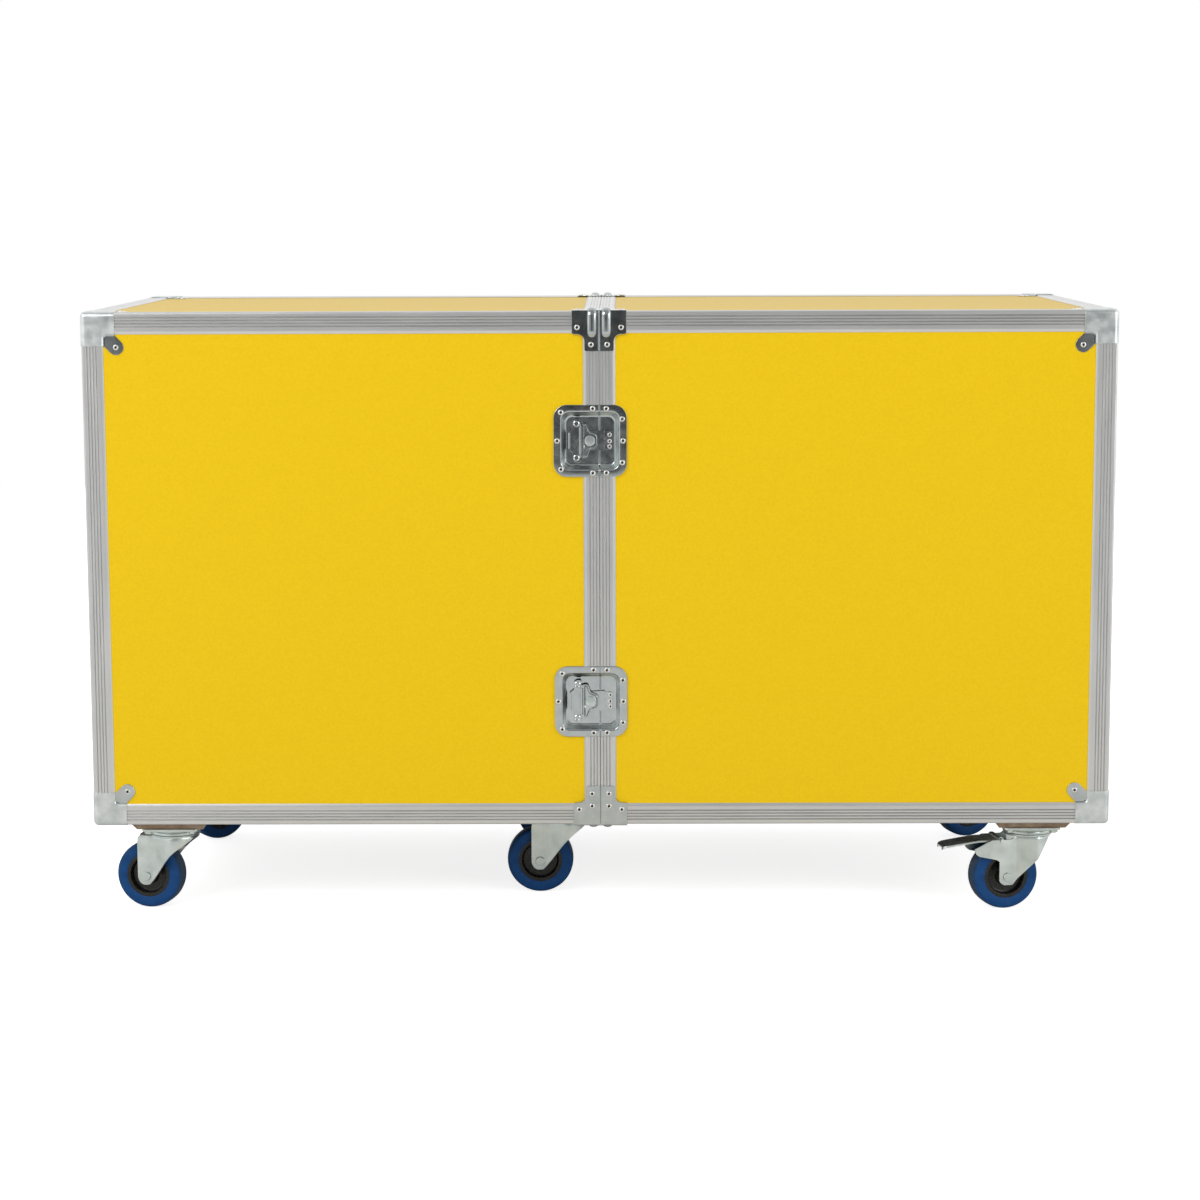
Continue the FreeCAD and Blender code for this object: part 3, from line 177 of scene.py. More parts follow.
def grains(tree, place, scale, detail=3.0):
    """Smooth random field; a scale of 100 gives grains of about a centimetre."""
    noise = tree.nodes.new("ShaderNodeTexNoise")
    noise.inputs["Scale"].default_value = scale
    noise.inputs["Detail"].default_value = detail
    tree.links.new(place, noise.inputs["Vector"])
    return noise.outputs["Fac"]


def between(tree, field, low, high, start=0.3, end=0.7):
    """A field spread over a range of numbers."""
    spread = tree.nodes.new("ShaderNodeMapRange")
    for socket, value in (("From Min", start), ("From Max", end), ("To Min", low), ("To Max", high)):
        spread.inputs[socket].default_value = value
    tree.links.new(field, spread.inputs["Value"])
    return spread.outputs["Result"]


def shades(tree, field, first, second, start=0.3, end=0.7):
    """A field turned into a colour between two."""
    ramp = tree.nodes.new("ShaderNodeValToRGB")
    for element, place, colour in zip(ramp.color_ramp.elements, (start, end), (first, second)):
        element.position = place
        element.color = (*colour, 1)
    tree.links.new(field, ramp.inputs["Fac"])
    return ramp.outputs["Color"]


def mixed(tree, amount, first, second):
    """One colour over another where the amount is high."""
    mix = tree.nodes.new("ShaderNodeMix")
    mix.data_type = "RGBA"
    colours = [socket for socket in mix.inputs if socket.type == "RGBA"]
    tree.links.new(amount, mix.inputs["Factor"])
    tree.links.new(first, colours[0])
    tree.links.new(second, colours[1])
    return [socket for socket in mix.outputs if socket.type == "RGBA"][0]


def worked_out(tree, operation, first, second):
    """Result of a sum on two sockets, or on a socket and a number."""
    step = tree.nodes.new("ShaderNodeMath")
    step.operation = operation
    for socket, value in zip(step.inputs, (first, second)):
        if isinstance(value, float):
            socket.default_value = value
        else:
            tree.links.new(value, socket)
    return step.outputs["Value"]


def coat(tree, shader, colour, roughness=None):
    """Give a shader its colour and, where it varies, its roughness."""
    tree.links.new(colour, shader.inputs["Base Color"])
    if roughness is not None:
        tree.links.new(roughness, shader.inputs["Roughness"])


def relief(tree, shader, field, depth, strength):
    """Bump on a shader, with its depth in metres."""
    bump = tree.nodes.new("ShaderNodeBump")
    bump.inputs["Distance"].default_value = depth
    bump.inputs["Strength"].default_value = strength
    tree.links.new(field, bump.inputs["Height"])
    tree.links.new(bump.outputs["Normal"], shader.inputs["Normal"])


# %% [markdown]
# ## Yellow laminate on plywood
# The walls are plywood with a hard yellow laminate outside and a sealed birch face inside. The laminate has
# a fine pebbled emboss, about three millimetres across, that breaks up its gloss; its yellow follows the
# emboss and is painted a little darker in the valleys, as painted shade. One material serves both faces: the
# object-space normal is compared with the direction away from the middle of the case, and that tells outside
# from inside.

# %% Laminate finish
LAMINATE = ((0.785, 0.511, 0.0005), (0.84, 0.559, 0.0015))
BIRCH = ((0.52, 0.36, 0.21), (0.66, 0.49, 0.31))
PEBBLES, PEBBLE_DEPTH = 330, 0.0002
CASE_MIDDLE = Vector((0, middle_y, (base + top) / 2)) * MM


def outside_mask(tree):
    """1 where the surface looks away from the middle of the case, 0 inside."""
    coordinates = tree.nodes.new("ShaderNodeTexCoord")
    away = tree.nodes.new("ShaderNodeVectorMath")
    away.operation = "SUBTRACT"
    away.inputs[1].default_value = CASE_MIDDLE
    tree.links.new(coordinates.outputs["Object"], away.inputs[0])
    agreement = tree.nodes.new("ShaderNodeVectorMath")
    agreement.operation = "DOT_PRODUCT"
    tree.links.new(away.outputs["Vector"], agreement.inputs[0])
    tree.links.new(coordinates.outputs["Normal"], agreement.inputs[1])
    return between(tree, agreement.outputs["Value"], 0, 1, -0.001, 0.001)


def birch_inside(tree, place, outside):
    """Colour of a wall: birch with its grain along X on the inside, another colour outside."""
    birch = shades(tree, grains(tree, stretched(tree, place, (5, 60, 60)), 4, 6), *BIRCH)
    return mixed(tree, outside_mask(tree), birch, outside)


def laminate_finish():
    finish, tree, shader = new_finish("yellow_laminate", 0, 0.4)
    shader.inputs["Specular IOR Level"].default_value = 0.25
    place = object_place(tree)
    pebbles = grains(tree, place, PEBBLES)
    # The yellow is darker in the pebbles' valleys: painted shade.
    colour = birch_inside(tree, place, shades(tree, pebbles, *LAMINATE))
    coat(tree, shader, colour, between(tree, pebbles, 0.34, 0.46))
    relief(tree, shader, pebbles, PEBBLE_DEPTH, 0.5)
    return finish


def dress(name, finish):
    """Show a solid as it is, with one finish all over."""
    nodes[name].data.materials.clear()
    nodes[name].data.materials.append(finish)


laminate = laminate_finish()
panels = [name for name in nodes if name.startswith("panel_")]
for name in panels:
    dress(name, laminate)
print("laminate on", len(panels), "walls")

# %% [markdown]
# The bottom boards never show from above. Such boards are plywood with a brown film that sheds water, so they
# get that finish outside. It also keeps yellow out of what the bright metal under the case reflects.

# %% Film on the bottom boards
FILM = ((0.03, 0.018, 0.011), (0.055, 0.034, 0.022))


def film_finish():
    finish, tree, shader = new_finish("brown_film", 0, 0.4)
    place = object_place(tree)
    colour = birch_inside(tree, place, shades(tree, grains(tree, place, 14), *FILM))
    weave = grains(tree, stretched(tree, place, (1, 1, 0)), 500, 1)
    coat(tree, shader, colour, between(tree, weave, 0.34, 0.5))
    relief(tree, shader, weave, 0.00015, 0.5)
    return finish


brown_film = film_finish()
for name in panels:
    if "bottom" in name:
        dress(name, brown_film)
        print("film on", name)

# %% [markdown]
# ## Metals, rubber and nylon
# Five metal finishes show: extruded aluminium with fine lines along each rail, bright zinc on the pressed
# plates, a paler and rougher zinc where hands rub the dish walls and, as painted light, on the proud plates
# of the corner caps, satin zinc on castors, hinges and bails, and pale steel for rivets and hinge pins.
# Zinc plating has faint cloudy patches, so colour and roughness both drift.
# Extruded metal has lines along its length: the rails carry a grain attribute with the distance along
# and across each run, and the lines follow that instead of the axes of the case. Its third value says how
# deep in a groove a point lies, and the colour is darkened there as painted shade in the grooves.

# %% Metal finishes
ALUMINIUM = ((0.64, 0.645, 0.638), (0.71, 0.712, 0.7))
# Darker aluminium for inside the grooves: painted shade.
GROOVE_SHADE = ((0.46, 0.46, 0.45), (0.54, 0.54, 0.53))


def aluminium_finish():
    finish, tree, shader = new_finish("extruded_aluminium", 1, 0.36)
    grain = tree.nodes.new("ShaderNodeAttribute")
    grain.attribute_name = "grain"
    along = grain.outputs["Vector"]
    lines = grains(tree, stretched(tree, along, (3, 1500, 0)), 1, 4)
    clouds = grains(tree, stretched(tree, along, (9, 90, 0)), 1)
    parts = tree.nodes.new("ShaderNodeSeparateXYZ")
    tree.links.new(along, parts.inputs["Vector"])
    # The colour turns to the darker one where the third value is high: painted shade in the grooves.
    unshaded, groove_shaded = shades(tree, clouds, *ALUMINIUM), shades(tree, clouds, *GROOVE_SHADE)
    coat(tree, shader, mixed(tree, parts.outputs["Z"], unshaded, groove_shaded), between(tree, lines, 0.33, 0.42))
    relief(tree, shader, lines, 0.00003, 0.2)
    return finish


def zinc_finish(name, dark, light, smooth, rough, patch):
    """Zinc plating with cloudy patches and fine scratches."""
    finish, tree, shader = new_finish(name, 1, smooth)
    place = object_place(tree)
    clouds = grains(tree, place, patch, 4)
    scratches = grains(tree, stretched(tree, place, (1, 1, 6)), 420, 2)
    wear = worked_out(tree, "MULTIPLY", clouds, scratches)
    coat(tree, shader, shades(tree, clouds, dark, light), between(tree, wear, smooth, rough, 0.12, 0.4))
    relief(tree, shader, grains(tree, place, 160, 2), 0.00004, 0.35)
    return finish


aluminium = aluminium_finish()
bright_zinc = zinc_finish("bright_zinc", (0.42, 0.46, 0.46), (0.53, 0.56, 0.555), 0.1, 0.2, 60)
satin_zinc = zinc_finish("satin_zinc", (0.47, 0.535, 0.52), (0.7, 0.755, 0.735), 0.24, 0.42, 36)
# Paler, rougher zinc: rub wear on the dish walls, and painted light on the proud plates of the corner caps.
worn_zinc = zinc_finish("worn_zinc", (0.55, 0.595, 0.59), (0.79, 0.82, 0.815), 0.3, 0.5, 60)
rivet_steel = zinc_finish("rivet_steel", (0.68, 0.68, 0.66), (0.82, 0.82, 0.8), 0.3, 0.46, 300)
print("metals", [finish.name for finish in (aluminium, bright_zinc, satin_zinc, worn_zinc, rivet_steel)])


# %% Rubber, nylon, plywood and painted shade for recesses
BLACK, SOOT, CHARCOAL = (0.006, 0.006, 0.005), (0.014, 0.013, 0.012), (0.03, 0.028, 0.026)
TREAD = (0.0475, 0.0502)


def plain_finish(name, first, second, smooth, rough, scale, depth):
    """Finish of a moulded or sawn piece: two close colours, uneven gloss and a fine relief."""
    finish, tree, shader = new_finish(name, 0, smooth)
    field = grains(tree, object_place(tree), scale, 4)
    coat(tree, shader, shades(tree, field, first, second), between(tree, field, smooth, rough))
    relief(tree, shader, field, depth, 0.5)
    return finish


def tyre_finish():
    """Blue rubber that greys towards the tread; a wheel's own axle is its local Z axis."""
    finish, tree, shader = new_finish("blue_rubber", 0, 0.55)
    shader.inputs["Specular IOR Level"].default_value = 0.2
    place = object_place(tree)
    radius = tree.nodes.new("ShaderNodeVectorMath")
    radius.operation = "LENGTH"
    tree.links.new(stretched(tree, place, (1, 1, 0)), radius.inputs[0])
    worn = between(tree, radius.outputs["Value"], 0, 1, *TREAD)
    dusty = shades(tree, grains(tree, place, 120, 5), (0.02, 0.042, 0.07), (0.055, 0.075, 0.098))
    blue = shades(tree, grains(tree, place, 70, 4), (0.005, 0.046, 0.16), (0.008, 0.064, 0.205))
    coat(tree, shader, mixed(tree, worn, blue, dusty))
    relief(tree, shader, grains(tree, place, 900, 2), 0.00005, 0.5)
    return finish


def plywood_finish():
    """Sawn plywood: layers of veneer seen on the edge, dark glue lines between them."""
    finish, tree, shader = new_finish("pad_plywood", 0, 0.62)
    place = object_place(tree)
    layers = tree.nodes.new("ShaderNodeTexWave")
    layers.bands_direction = "Z"
    for socket, value in (("Scale", 170), ("Distortion", 1.2), ("Detail", 3), ("Detail Scale", 4)):
        layers.inputs[socket].default_value = value
    tree.links.new(place, layers.inputs["Vector"])
    wood = shades(tree, layers.outputs["Fac"], (0.1, 0.058, 0.03), (0.36, 0.25, 0.15), 0.1, 0.8)
    stain = shades(tree, grains(tree, place, 90, 5), (0.16, 0.105, 0.07), (0.42, 0.33, 0.24))
    blotch = between(tree, grains(tree, place, 30, 3), 0.15, 0.75)
    coat(tree, shader, mixed(tree, blotch, wood, stain))
    relief(tree, shader, layers.outputs["Fac"], 0.0002, 0.6)
    return finish


blue_rubber, pad_plywood = tyre_finish(), plywood_finish()
black_nylon = plain_finish("black_nylon", BLACK, SOOT, 0.22, 0.38, 220, 0.00004)
grip_rubber = plain_finish("grip_rubber", SOOT, CHARCOAL, 0.5, 0.68, 500, 0.00008)
# Near black for the insides of rivet holes: painted shade.
dark_pit = plain_finish("dark_pit", BLACK, CHARCOAL, 0.5, 0.7, 600, 0.00005)
plain = (blue_rubber, pad_plywood, black_nylon, grip_rubber, dark_pit)
print("other finishes", [finish.name for finish in plain])

# %% [markdown]
# ## Small tools for meshes
# Five ways of working cover the case: an outline cut from plate, a profile drawn along a line, a profile
# turned about an axis, rings joined one to the next, and copies of one piece at many places. Each works on
# a bmesh, Blender's editable mesh, so that several forms can be joined into one piece before it is shown.

# %% Outlines with round corners
def arc_points(centre, radius, start, end, steps):
    """Points on an arc, with its angles in radians."""
    angles = [start + (end - start) * i / steps for i in range(steps + 1)]
    return [(centre[0] + radius * math.cos(a), centre[1] + radius * math.sin(a)) for a in angles]


def rounded(corners, steps=6):
    """Closed outline; a corner with a third value is rounded to that radius."""
    points = []
    for i, corner in enumerate(corners):
        at = Vector(corner[:2])
        if len(corner) < 3:
            points.append(tuple(at))
            continue
        back = (Vector(corners[i - 1][:2]) - at).normalized()
        ahead = (Vector(corners[(i + 1) % len(corners)][:2]) - at).normalized()
        half = back.angle(ahead) / 2
        centre = at + (back + ahead).normalized() * (corner[2] / math.sin(half))
        first = at + back * (corner[2] / math.tan(half)) - centre
        last = at + ahead * (corner[2] / math.tan(half)) - centre
        turn = first.angle_signed(last)
        start = math.atan2(first.y, first.x)
        points += arc_points(centre, corner[2], start, start - turn, steps)
    return points


def rounded_rectangle(width, height, radius, steps=6):
    w, h = width / 2, height / 2
    return rounded([(-w, -h, radius), (w, -h, radius), (w, h, radius), (-w, h, radius)], steps)


print("a rounded square has", len(rounded_rectangle(2, 2, 0.5)), "points")


# %% Forms on a bmesh
TIP = 0.01


def plate(bm, outline, low, high, place=None, soften=0.35):
    """Flat plate from a low to a high Z, with its rim softened, then put in place."""
    verts = [bm.verts.new((x, y, low)) for x, y in outline]
    face = bm.faces.new(verts)
    raised = bmesh.ops.extrude_face_region(bm, geom=[face])["geom"]
    lifted = [item for item in raised if isinstance(item, bmesh.types.BMVert)]
    bmesh.ops.translate(bm, vec=(0, 0, high - low), verts=lifted)
    everything = verts + lifted
    if soften:
        rims = {edge for vert in everything for edge in vert.link_edges}
        rims = [edge for edge in rims if abs(edge.verts[0].co.z - edge.verts[1].co.z) < 1e-6]
        made = bmesh.ops.bevel(bm, geom=rims, offset=soften, segments=2, profile=0.6, affect="EDGES",
                               clamp_overlap=True)
        everything = list({vert for vert in everything if vert.is_valid} | set(made["verts"]))
    if place is not None:
        bmesh.ops.transform(bm, matrix=place, verts=everything)
    return everything


def rings(bm, loops, closed=True, cap_first=False, cap_last=False):
    """Skin over loops of points that follow each other; a closed loop joins its ends."""
    rows = [[bm.verts.new(point) for point in loop] for loop in loops]
    count = len(rows[0])
    for near, far in zip(rows, rows[1:]):
        for i in range(count if closed else count - 1):
            k = (i + 1) % count
            bm.faces.new((near[i], near[k], far[k], far[i]))
    if cap_first:
        bm.faces.new(rows[0])
    if cap_last:
        bm.faces.new(rows[-1])
    return [vert for row in rows for vert in row]


def circle(radius, sides):
    return arc_points((0, 0), radius, 0, 2 * math.pi, sides)[:-1]


def turned(bm, profile, place=None, sides=24):
    """Profile of radii and heights turned about the Z axis and put in place; a zero radius closes an end."""
    loops = []
    for radius, height in profile:
        loops.append([(x, y, height) for x, y in circle(max(radius, TIP), sides)])
    verts = rings(bm, loops, cap_first=profile[0][0] <= TIP, cap_last=profile[-1][0] <= TIP)
    if place is not None:
        bmesh.ops.transform(bm, matrix=place, verts=verts)
    return verts


def carried(bm, line, radius, x, sides=20):
    """Circle carried along a line in the Y-Z plane, at a place on the X axis."""
    loops = []
    for i, point in enumerate(line):
        ahead = Vector(line[min(i + 1, len(line) - 1)]) - Vector(line[max(i - 1, 0)])
        across = Vector((-ahead.y, ahead.x)).normalized()
        section = circle(radius, sides)
        loops.append([(x + u, point[0] + across.x * v, point[1] + across.y * v) for u, v in section])
    return rings(bm, loops, cap_first=True, cap_last=True)


def facing(point, outward):
    """Matrix that stands a form on a point, with its Z axis along the outward direction."""
    return Matrix.Translation(point) @ Vector(outward).to_track_quat("Z", "Y").to_matrix().to_4x4()


def mirror_matrix(x, y=1, z=1):
    return Matrix.Diagonal((x, y, z, 1))


upright = Matrix(((1, 0, 0, 0), (0, 0, 1, 0), (0, 1, 0, 0), (0, 0, 0, 1)))
print("upright sends Z to", tuple(upright @ Vector((0, 0, 1))))

# %% Finish a mesh, and show it on its body
SMOOTH_BELOW = math.radians(32)
SOLID_WELD, SKIN_WELD = 0.001, 0.02
RIM_ANGLE = math.radians(50)


def face_away(bm, centre):
    """Turn the faces of an open skin so that they look away from a point behind it."""
    bmesh.ops.remove_doubles(bm, verts=bm.verts, dist=SKIN_WELD)
    bmesh.ops.recalc_face_normals(bm, faces=bm.faces)
    outward = sum((face.calc_center_median() - Vector(centre)).dot(face.normal) * face.calc_area()
                  for face in bm.faces)
    if outward < 0:
        bmesh.ops.reverse_faces(bm, faces=bm.faces)


def finished(name, bm, *finishes, solid=True):
    """Mesh in metres, with smooth shading but for sharp edges; a skin keeps the way its faces look."""
    if solid:
        bmesh.ops.remove_doubles(bm, verts=bm.verts, dist=SOLID_WELD)
        bmesh.ops.recalc_face_normals(bm, faces=bm.faces)
    bm.transform(Matrix.Scale(MM, 4))
    mesh = bpy.data.meshes.new(name)
    bm.to_mesh(mesh)
    bm.free()
    for finish in finishes:
        mesh.materials.append(finish)
    mesh.shade_smooth()
    mesh.set_sharp_from_angle(angle=SMOOTH_BELOW)
    return mesh


pieces = []


def show(name, mesh, body, replaced, place=None):
    """Piece that shows a mesh, rides on a body and may stand for solids; place is in millimetres."""
    piece = bpy.data.objects.new(name, mesh)
    pieces.append(piece)
    bpy.context.scene.collection.objects.link(piece)
    if place is not None:
        turn = place.to_3x3().to_4x4()
        piece.matrix_world = Matrix.Translation(place.to_translation() * MM) @ turn
    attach(piece, body)
    if replaced:
        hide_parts(*replaced)
    return piece


def made(name, bm, finishes, body, slot, replaced=(), solid=True):
    """Piece made from a form in its place on the case."""
    return show(name, finished(name, bm, *finishes, solid=solid), body, replaced)


def on_both_halves(*makers):
    """Make a piece for each half of the case."""
    for word, side in SIDES.items():
        for maker in makers:
            piece = maker(side, word)
            print(piece.name, len(piece.data.polygons), "faces")


def soft_rim(piece, width):
    """Round off the sharp edges of a piece by a small width."""
    edge = piece.modifiers.new("rim", "BEVEL")
    edge.width = width * MM
    edge.segments = 2
    edge.angle_limit = RIM_ANGLE
    return piece


def thicken(piece, thickness, rim=0.3):
    """Give a pressed skin its sheet thickness, inwards from the shown side, and soften the cut rim."""
    sheet = piece.modifiers.new("sheet", "SOLIDIFY")
    sheet.thickness = thickness * MM
    sheet.offset = -1
    return soft_rim(piece, rim)


print("smooth below", round(math.degrees(SMOOTH_BELOW)), "degrees")

# %% [markdown]
# ## Edge rails
# Each outer edge of the case is an aluminium angle, extruded through a die: two legs with four grooves, a
# plain strip whose edge slopes down to the wall, and short inner legs that hold the plywood. An extrusion
# is one outline drawn along a line, so that is how it is made here. The grooves are real geometry, because
# they catch the light along the whole length.

# %% Rail profiles
EDGE_LEG, CLOSING_WIDTH = 31, 23
RAIL_WALL, RAIL_ROUND = panel_drop, 2.5
SLOT_END, BLOCK = 11.1, 12.6
INNER_LEG = 24
EDGE_GROOVES, GROOVED = (7.2, 4.35, 4, 1.15, 1.0), 24


def grooves(first, pitch, count, half, depth):
    """Points of several rounded V grooves along a face, from the middle of the first one."""
    shape = ((-1, 0), (-0.4, 0.75), (0, 1), (0.4, 0.75), (1, 0))
    middles = [first + pitch * i for i in range(count)]
    return [(middle + half * u, depth * v) for middle in middles for u, v in shape]


def sloped_end(width):
    """A strip's edge, sloping down to a thin lip on the wall."""
    slope = [(width - 4.5, 0), (width - 3.4, 0.12), (width - 0.6, RAIL_WALL - 1.0)]
    return slope + [(width, RAIL_WALL - 0.7), (width, RAIL_WALL)]


def edge_profile():
    """Angle with two like legs; one leg is drawn and then mirrored."""
    corner = arc_points((RAIL_ROUND, RAIL_ROUND), RAIL_ROUND, 1.25 * math.pi, 1.5 * math.pi, 4)
    leg = corner + grooves(*EDGE_GROOVES) + sloped_end(EDGE_LEG)
    leg += [(BLOCK, RAIL_WALL), (BLOCK, SLOT_END), (INNER_LEG, SLOT_END), (INNER_LEG, BLOCK)]
    return leg + [(BLOCK, BLOCK)] + [(v, u) for u, v in reversed(leg[1:])]


def run_rail(bm, grain, profile, corner, across, inward, along, start, end):
    """One rail: the profile's two axes are across and inward, and it runs along an axis from start to end."""
    across, inward, along = Vector(across), Vector(inward), Vector(along)
    loops = []
    for distance in (start, end):
        origin = Vector(corner) + along * distance
        loops.append([origin + across * u + inward * v for u, v in profile])
    verts = rings(bm, loops, cap_first=True, cap_last=True)
    for i, vert in enumerate(verts):
        u, v = profile[i % len(profile)]
        lengthwise = start if i < len(profile) else end
        # How deep in a groove the point lies; the aluminium finish paints shade there.
        groove_shade = min(u, v, 1) if max(u, v) < GROOVED else 0
        vert[grain] = (lengthwise * MM, (u - v + corner[2]) * MM, groove_shade)


def edge_rails(side, word):
    bm = bmesh.new()
    grain = bm.verts.layers.float_vector.new("grain")
    profile = edge_profile()
    end = side * half_length
    inwards = (-side, 0, 0)
    for y, dy in ((front, 1), (rear, -1)):
        for z, dz in ((base, 1), (top, -1)):
            run_rail(bm, grain, profile, (0, y, z), (0, dy, 0), (0, 0, dz), (side, 0, 0),
                     CLOSING_WIDTH, half_length - EDGE_LEG)
        run_rail(bm, grain, profile, (end, y, base), inwards, (0, dy, 0), (0, 0, 1),
                 EDGE_LEG, top - base - EDGE_LEG)
    for z, dz in ((base, 1), (top, -1)):
        run_rail(bm, grain, profile, (end, front, z), inwards, (0, 0, dz), (0, 1, 0),
                 EDGE_LEG, rear - front - EDGE_LEG)
    replaced = ["edge_extrusions_" + word]
    return made("edge_rails_" + word, bm, [aluminium], word + "_half", "extrusion", replaced)


on_both_halves(edge_rails)

# %% [markdown]
# ## Closing rails
# Round the mouth of each half runs a narrower extrusion. The left one has a tapered tongue and the right one
# a groove for it, so that the halves meet in line and keep dust out. The latch dishes are let into the front
# posts, so each front post is in three lengths.

# %% Closing rails with tongue and groove
LATCH_X = joint_point("latch_spindle_upper_turn").x
LATCH_HEIGHTS = {label: joint_point("latch_spindle_%s_turn" % label).z for label in ("upper", "lower")}
CUTOUT_HALF = 42.4
CLOSING_GROOVES = (4.6, 4.6, 3, 1.0, 0.9)
CLOSING_NECK, CLOSING_INNER = 8, 15
TONGUE = {"left": (4.2, 8.8, -4.5, 1.2), "right": (3.5, 9.5, 5.2, 1.2)}


def closing_profile(word):
    near, far, reach, taper = TONGUE[word]
    outline = [(seam_gap, 1.1), (seam_gap + 0.7, 0)] + grooves(*CLOSING_GROOVES) + sloped_end(CLOSING_WIDTH)
    outline += [(CLOSING_NECK, RAIL_WALL), (CLOSING_NECK, SLOT_END), (CLOSING_INNER, SLOT_END)]
    outline += [(CLOSING_INNER, BLOCK), (seam_gap, BLOCK)]
    return outline + [(seam_gap, far), (reach, far - taper), (reach, near + taper), (seam_gap, near)]


def closing_rails(side, word):
    bm = bmesh.new()
    grain = bm.verts.layers.float_vector.new("grain")
    profile = closing_profile(word)
    cuts = sorted((z - CUTOUT_HALF, z + CUTOUT_HALF) for z in LATCH_HEIGHTS.values())
    stops = [base] + [z for cut in cuts for z in cut] + [top]
    out, up = (side, 0, 0), (0, 0, 1)
    for low, high in zip(stops[::2], stops[1::2]):
        run_rail(bm, grain, profile, (0, front, 0), out, (0, 1, 0), up, low, high)
    run_rail(bm, grain, profile, (0, rear, 0), out, (0, -1, 0), up, base, top)
    for z, dz in ((base, 1), (top, -1)):
        run_rail(bm, grain, profile, (0, 0, z), out, (0, 0, dz), (0, 1, 0), front + BLOCK, rear - BLOCK)
    replaced = ["closing_frame_" + word, "closing_post_" + word]
    return made("closing_rails_" + word, bm, [aluminium], word + "_half", "extrusion", replaced)


on_both_halves(closing_rails)

# %% [markdown]
# ## Rivets
# Blind rivets hold the plates on: a low dome with a hole where the pulling stem broke off, and the hole is
# painted dark as painted shade. One rivet is turned once, and all that sit on the same half are copied into
# one piece. The list of places grows as the plates are made, and the rivets are set at the end.

# %% One rivet, and places for more
RIVET_RADIUS, PIT_RADIUS = 4.0, 2.0
SMALL_RIVET = 0.85
rivet_places = {"left_half": [], "right_half": []}


def add_rivet(body, point, outward, size=1.0):
    rivet_places[body].append(facing(point, outward) @ Matrix.Scale(size, 4))


def rivet_form():
    """Dome and hole of one rivet; faces of the hole take the second finish, a painted shade."""
    bm = bmesh.new()
    dome = [(RIVET_RADIUS, -0.4), (RIVET_RADIUS, 0.25), (3.75, 0.8), (3.2, 1.2), (2.6, 1.35), (2.2, 1.3)]
    pit = [(1.95, 1.1), (1.9, 0.15), (0, 0.15)]
    turned(bm, dome + pit)
    for face in bm.faces:
        middle = face.calc_center_median()
        face.material_index = int(math.hypot(middle.x, middle.y) < PIT_RADIUS)
    return bm


def copied(bm, matrices):
    """Mesh data of a form repeated at many places, in a new bmesh."""
    source = bpy.data.meshes.new("copied_form")
    bm.to_mesh(source)
    bm.free()
    copies = bmesh.new()
    for matrix in matrices:
        known_verts, known_faces = len(copies.verts), len(copies.faces)
        copies.from_mesh(source)
        copies.verts.ensure_lookup_table()
        copies.faces.ensure_lookup_table()
        bmesh.ops.transform(copies, matrix=matrix, verts=copies.verts[known_verts:])
        if matrix.determinant() < 0:
            bmesh.ops.reverse_faces(copies, faces=copies.faces[known_faces:])
    bpy.data.meshes.remove(source)
    return copies


print("one rivet is", RIVET_RADIUS * 2, "mm across")

# %% [markdown]
# ## Corner caps
# A cap is one pressing: three square plates drawn round a ball corner. Where a plate passes the rails, its
# inner corner is pressed down to the wall and runs out into a lug with a rivet. To press a round corner from
# square grids, each point of a grid is pulled onto a sphere, a cylinder or a plane, whichever is nearest to
# it. Points of the inner corner then sink by the height of the rail. The lug is one more strip of faces.

# %% Corner caps
CAP_SIZE, CAP_PROUD, CAP_ROUND = 48, 1.5, 7.5
LUG_CENTRE, LUG_RADIUS = 49.5, 11
STEP_START, STEP_CORNER = 29.4, 6
STEP_END = CAP_SIZE - LUG_RADIUS * math.sqrt(2)
LUG_LINES = [STEP_END + (CAP_SIZE - STEP_END) * i / 8 for i in range(9)]


def cap_lines():
    """Grid lines over a plate: close together on the rounding and on the step, wide apart between."""
    angles = [math.radians(45) * (1 - i / 6) for i in range(7)]
    step = [STEP_START + (STEP_END - STEP_START) * i / 4 for i in range(4)]
    return [CAP_ROUND * (1 - math.tan(a)) - CAP_PROUD for a in angles] + [18] + step + LUG_LINES


def stepped_down(a, b):
    """How far a spot of the plate has sunk to the wall, from 0 to 1."""
    centre = STEP_START + STEP_CORNER
    past = min(a, b)
    if max(a, b) < centre:
        past = centre - math.hypot(centre - a, centre - b)
    share = min(max((past - STEP_START) / (STEP_END - STEP_START), 0), 1)
    return share * share * (3 - 2 * share)


def pulled_round(point):
    """A point of the square corner, moved onto the rounded one."""
    offset = Vector(point) + Vector((CAP_PROUD,) * 3)
    core = Vector([max(v, CAP_ROUND) for v in offset])
    return core + (offset - core).normalized() * CAP_ROUND - Vector((CAP_PROUD,) * 3)


def on_plate(order, a, b, depth):
    """Point on a plate; order says which axes are its two edges and its depth."""
    point = Vector()
    point[order[0]], point[order[1]], point[order[2]] = a, b, depth
    return point


def cap_plate(bm, order):
    """One plate of the cap; the proud part takes the paler zinc as painted light, and the part that has sunk
    to the wall keeps the bright finish.
    """
    lines = cap_lines()
    grid = {}
    for i, a in enumerate(lines):
        for k, b in enumerate(lines):
            sunk = on_plate(order, 0, 0, panel_drop * stepped_down(a, b))
            grid[i, k] = bm.verts.new(pulled_round(on_plate(order, a, b, -CAP_PROUD)) + sunk)
    for i, a in enumerate(lines[:-1]):
        for k, b in enumerate(lines[:-1]):
            face = bm.faces.new([grid[i, k], grid[i + 1, k], grid[i + 1, k + 1], grid[i, k + 1]])
            face.material_index = int(stepped_down(a, b) < 0.5)


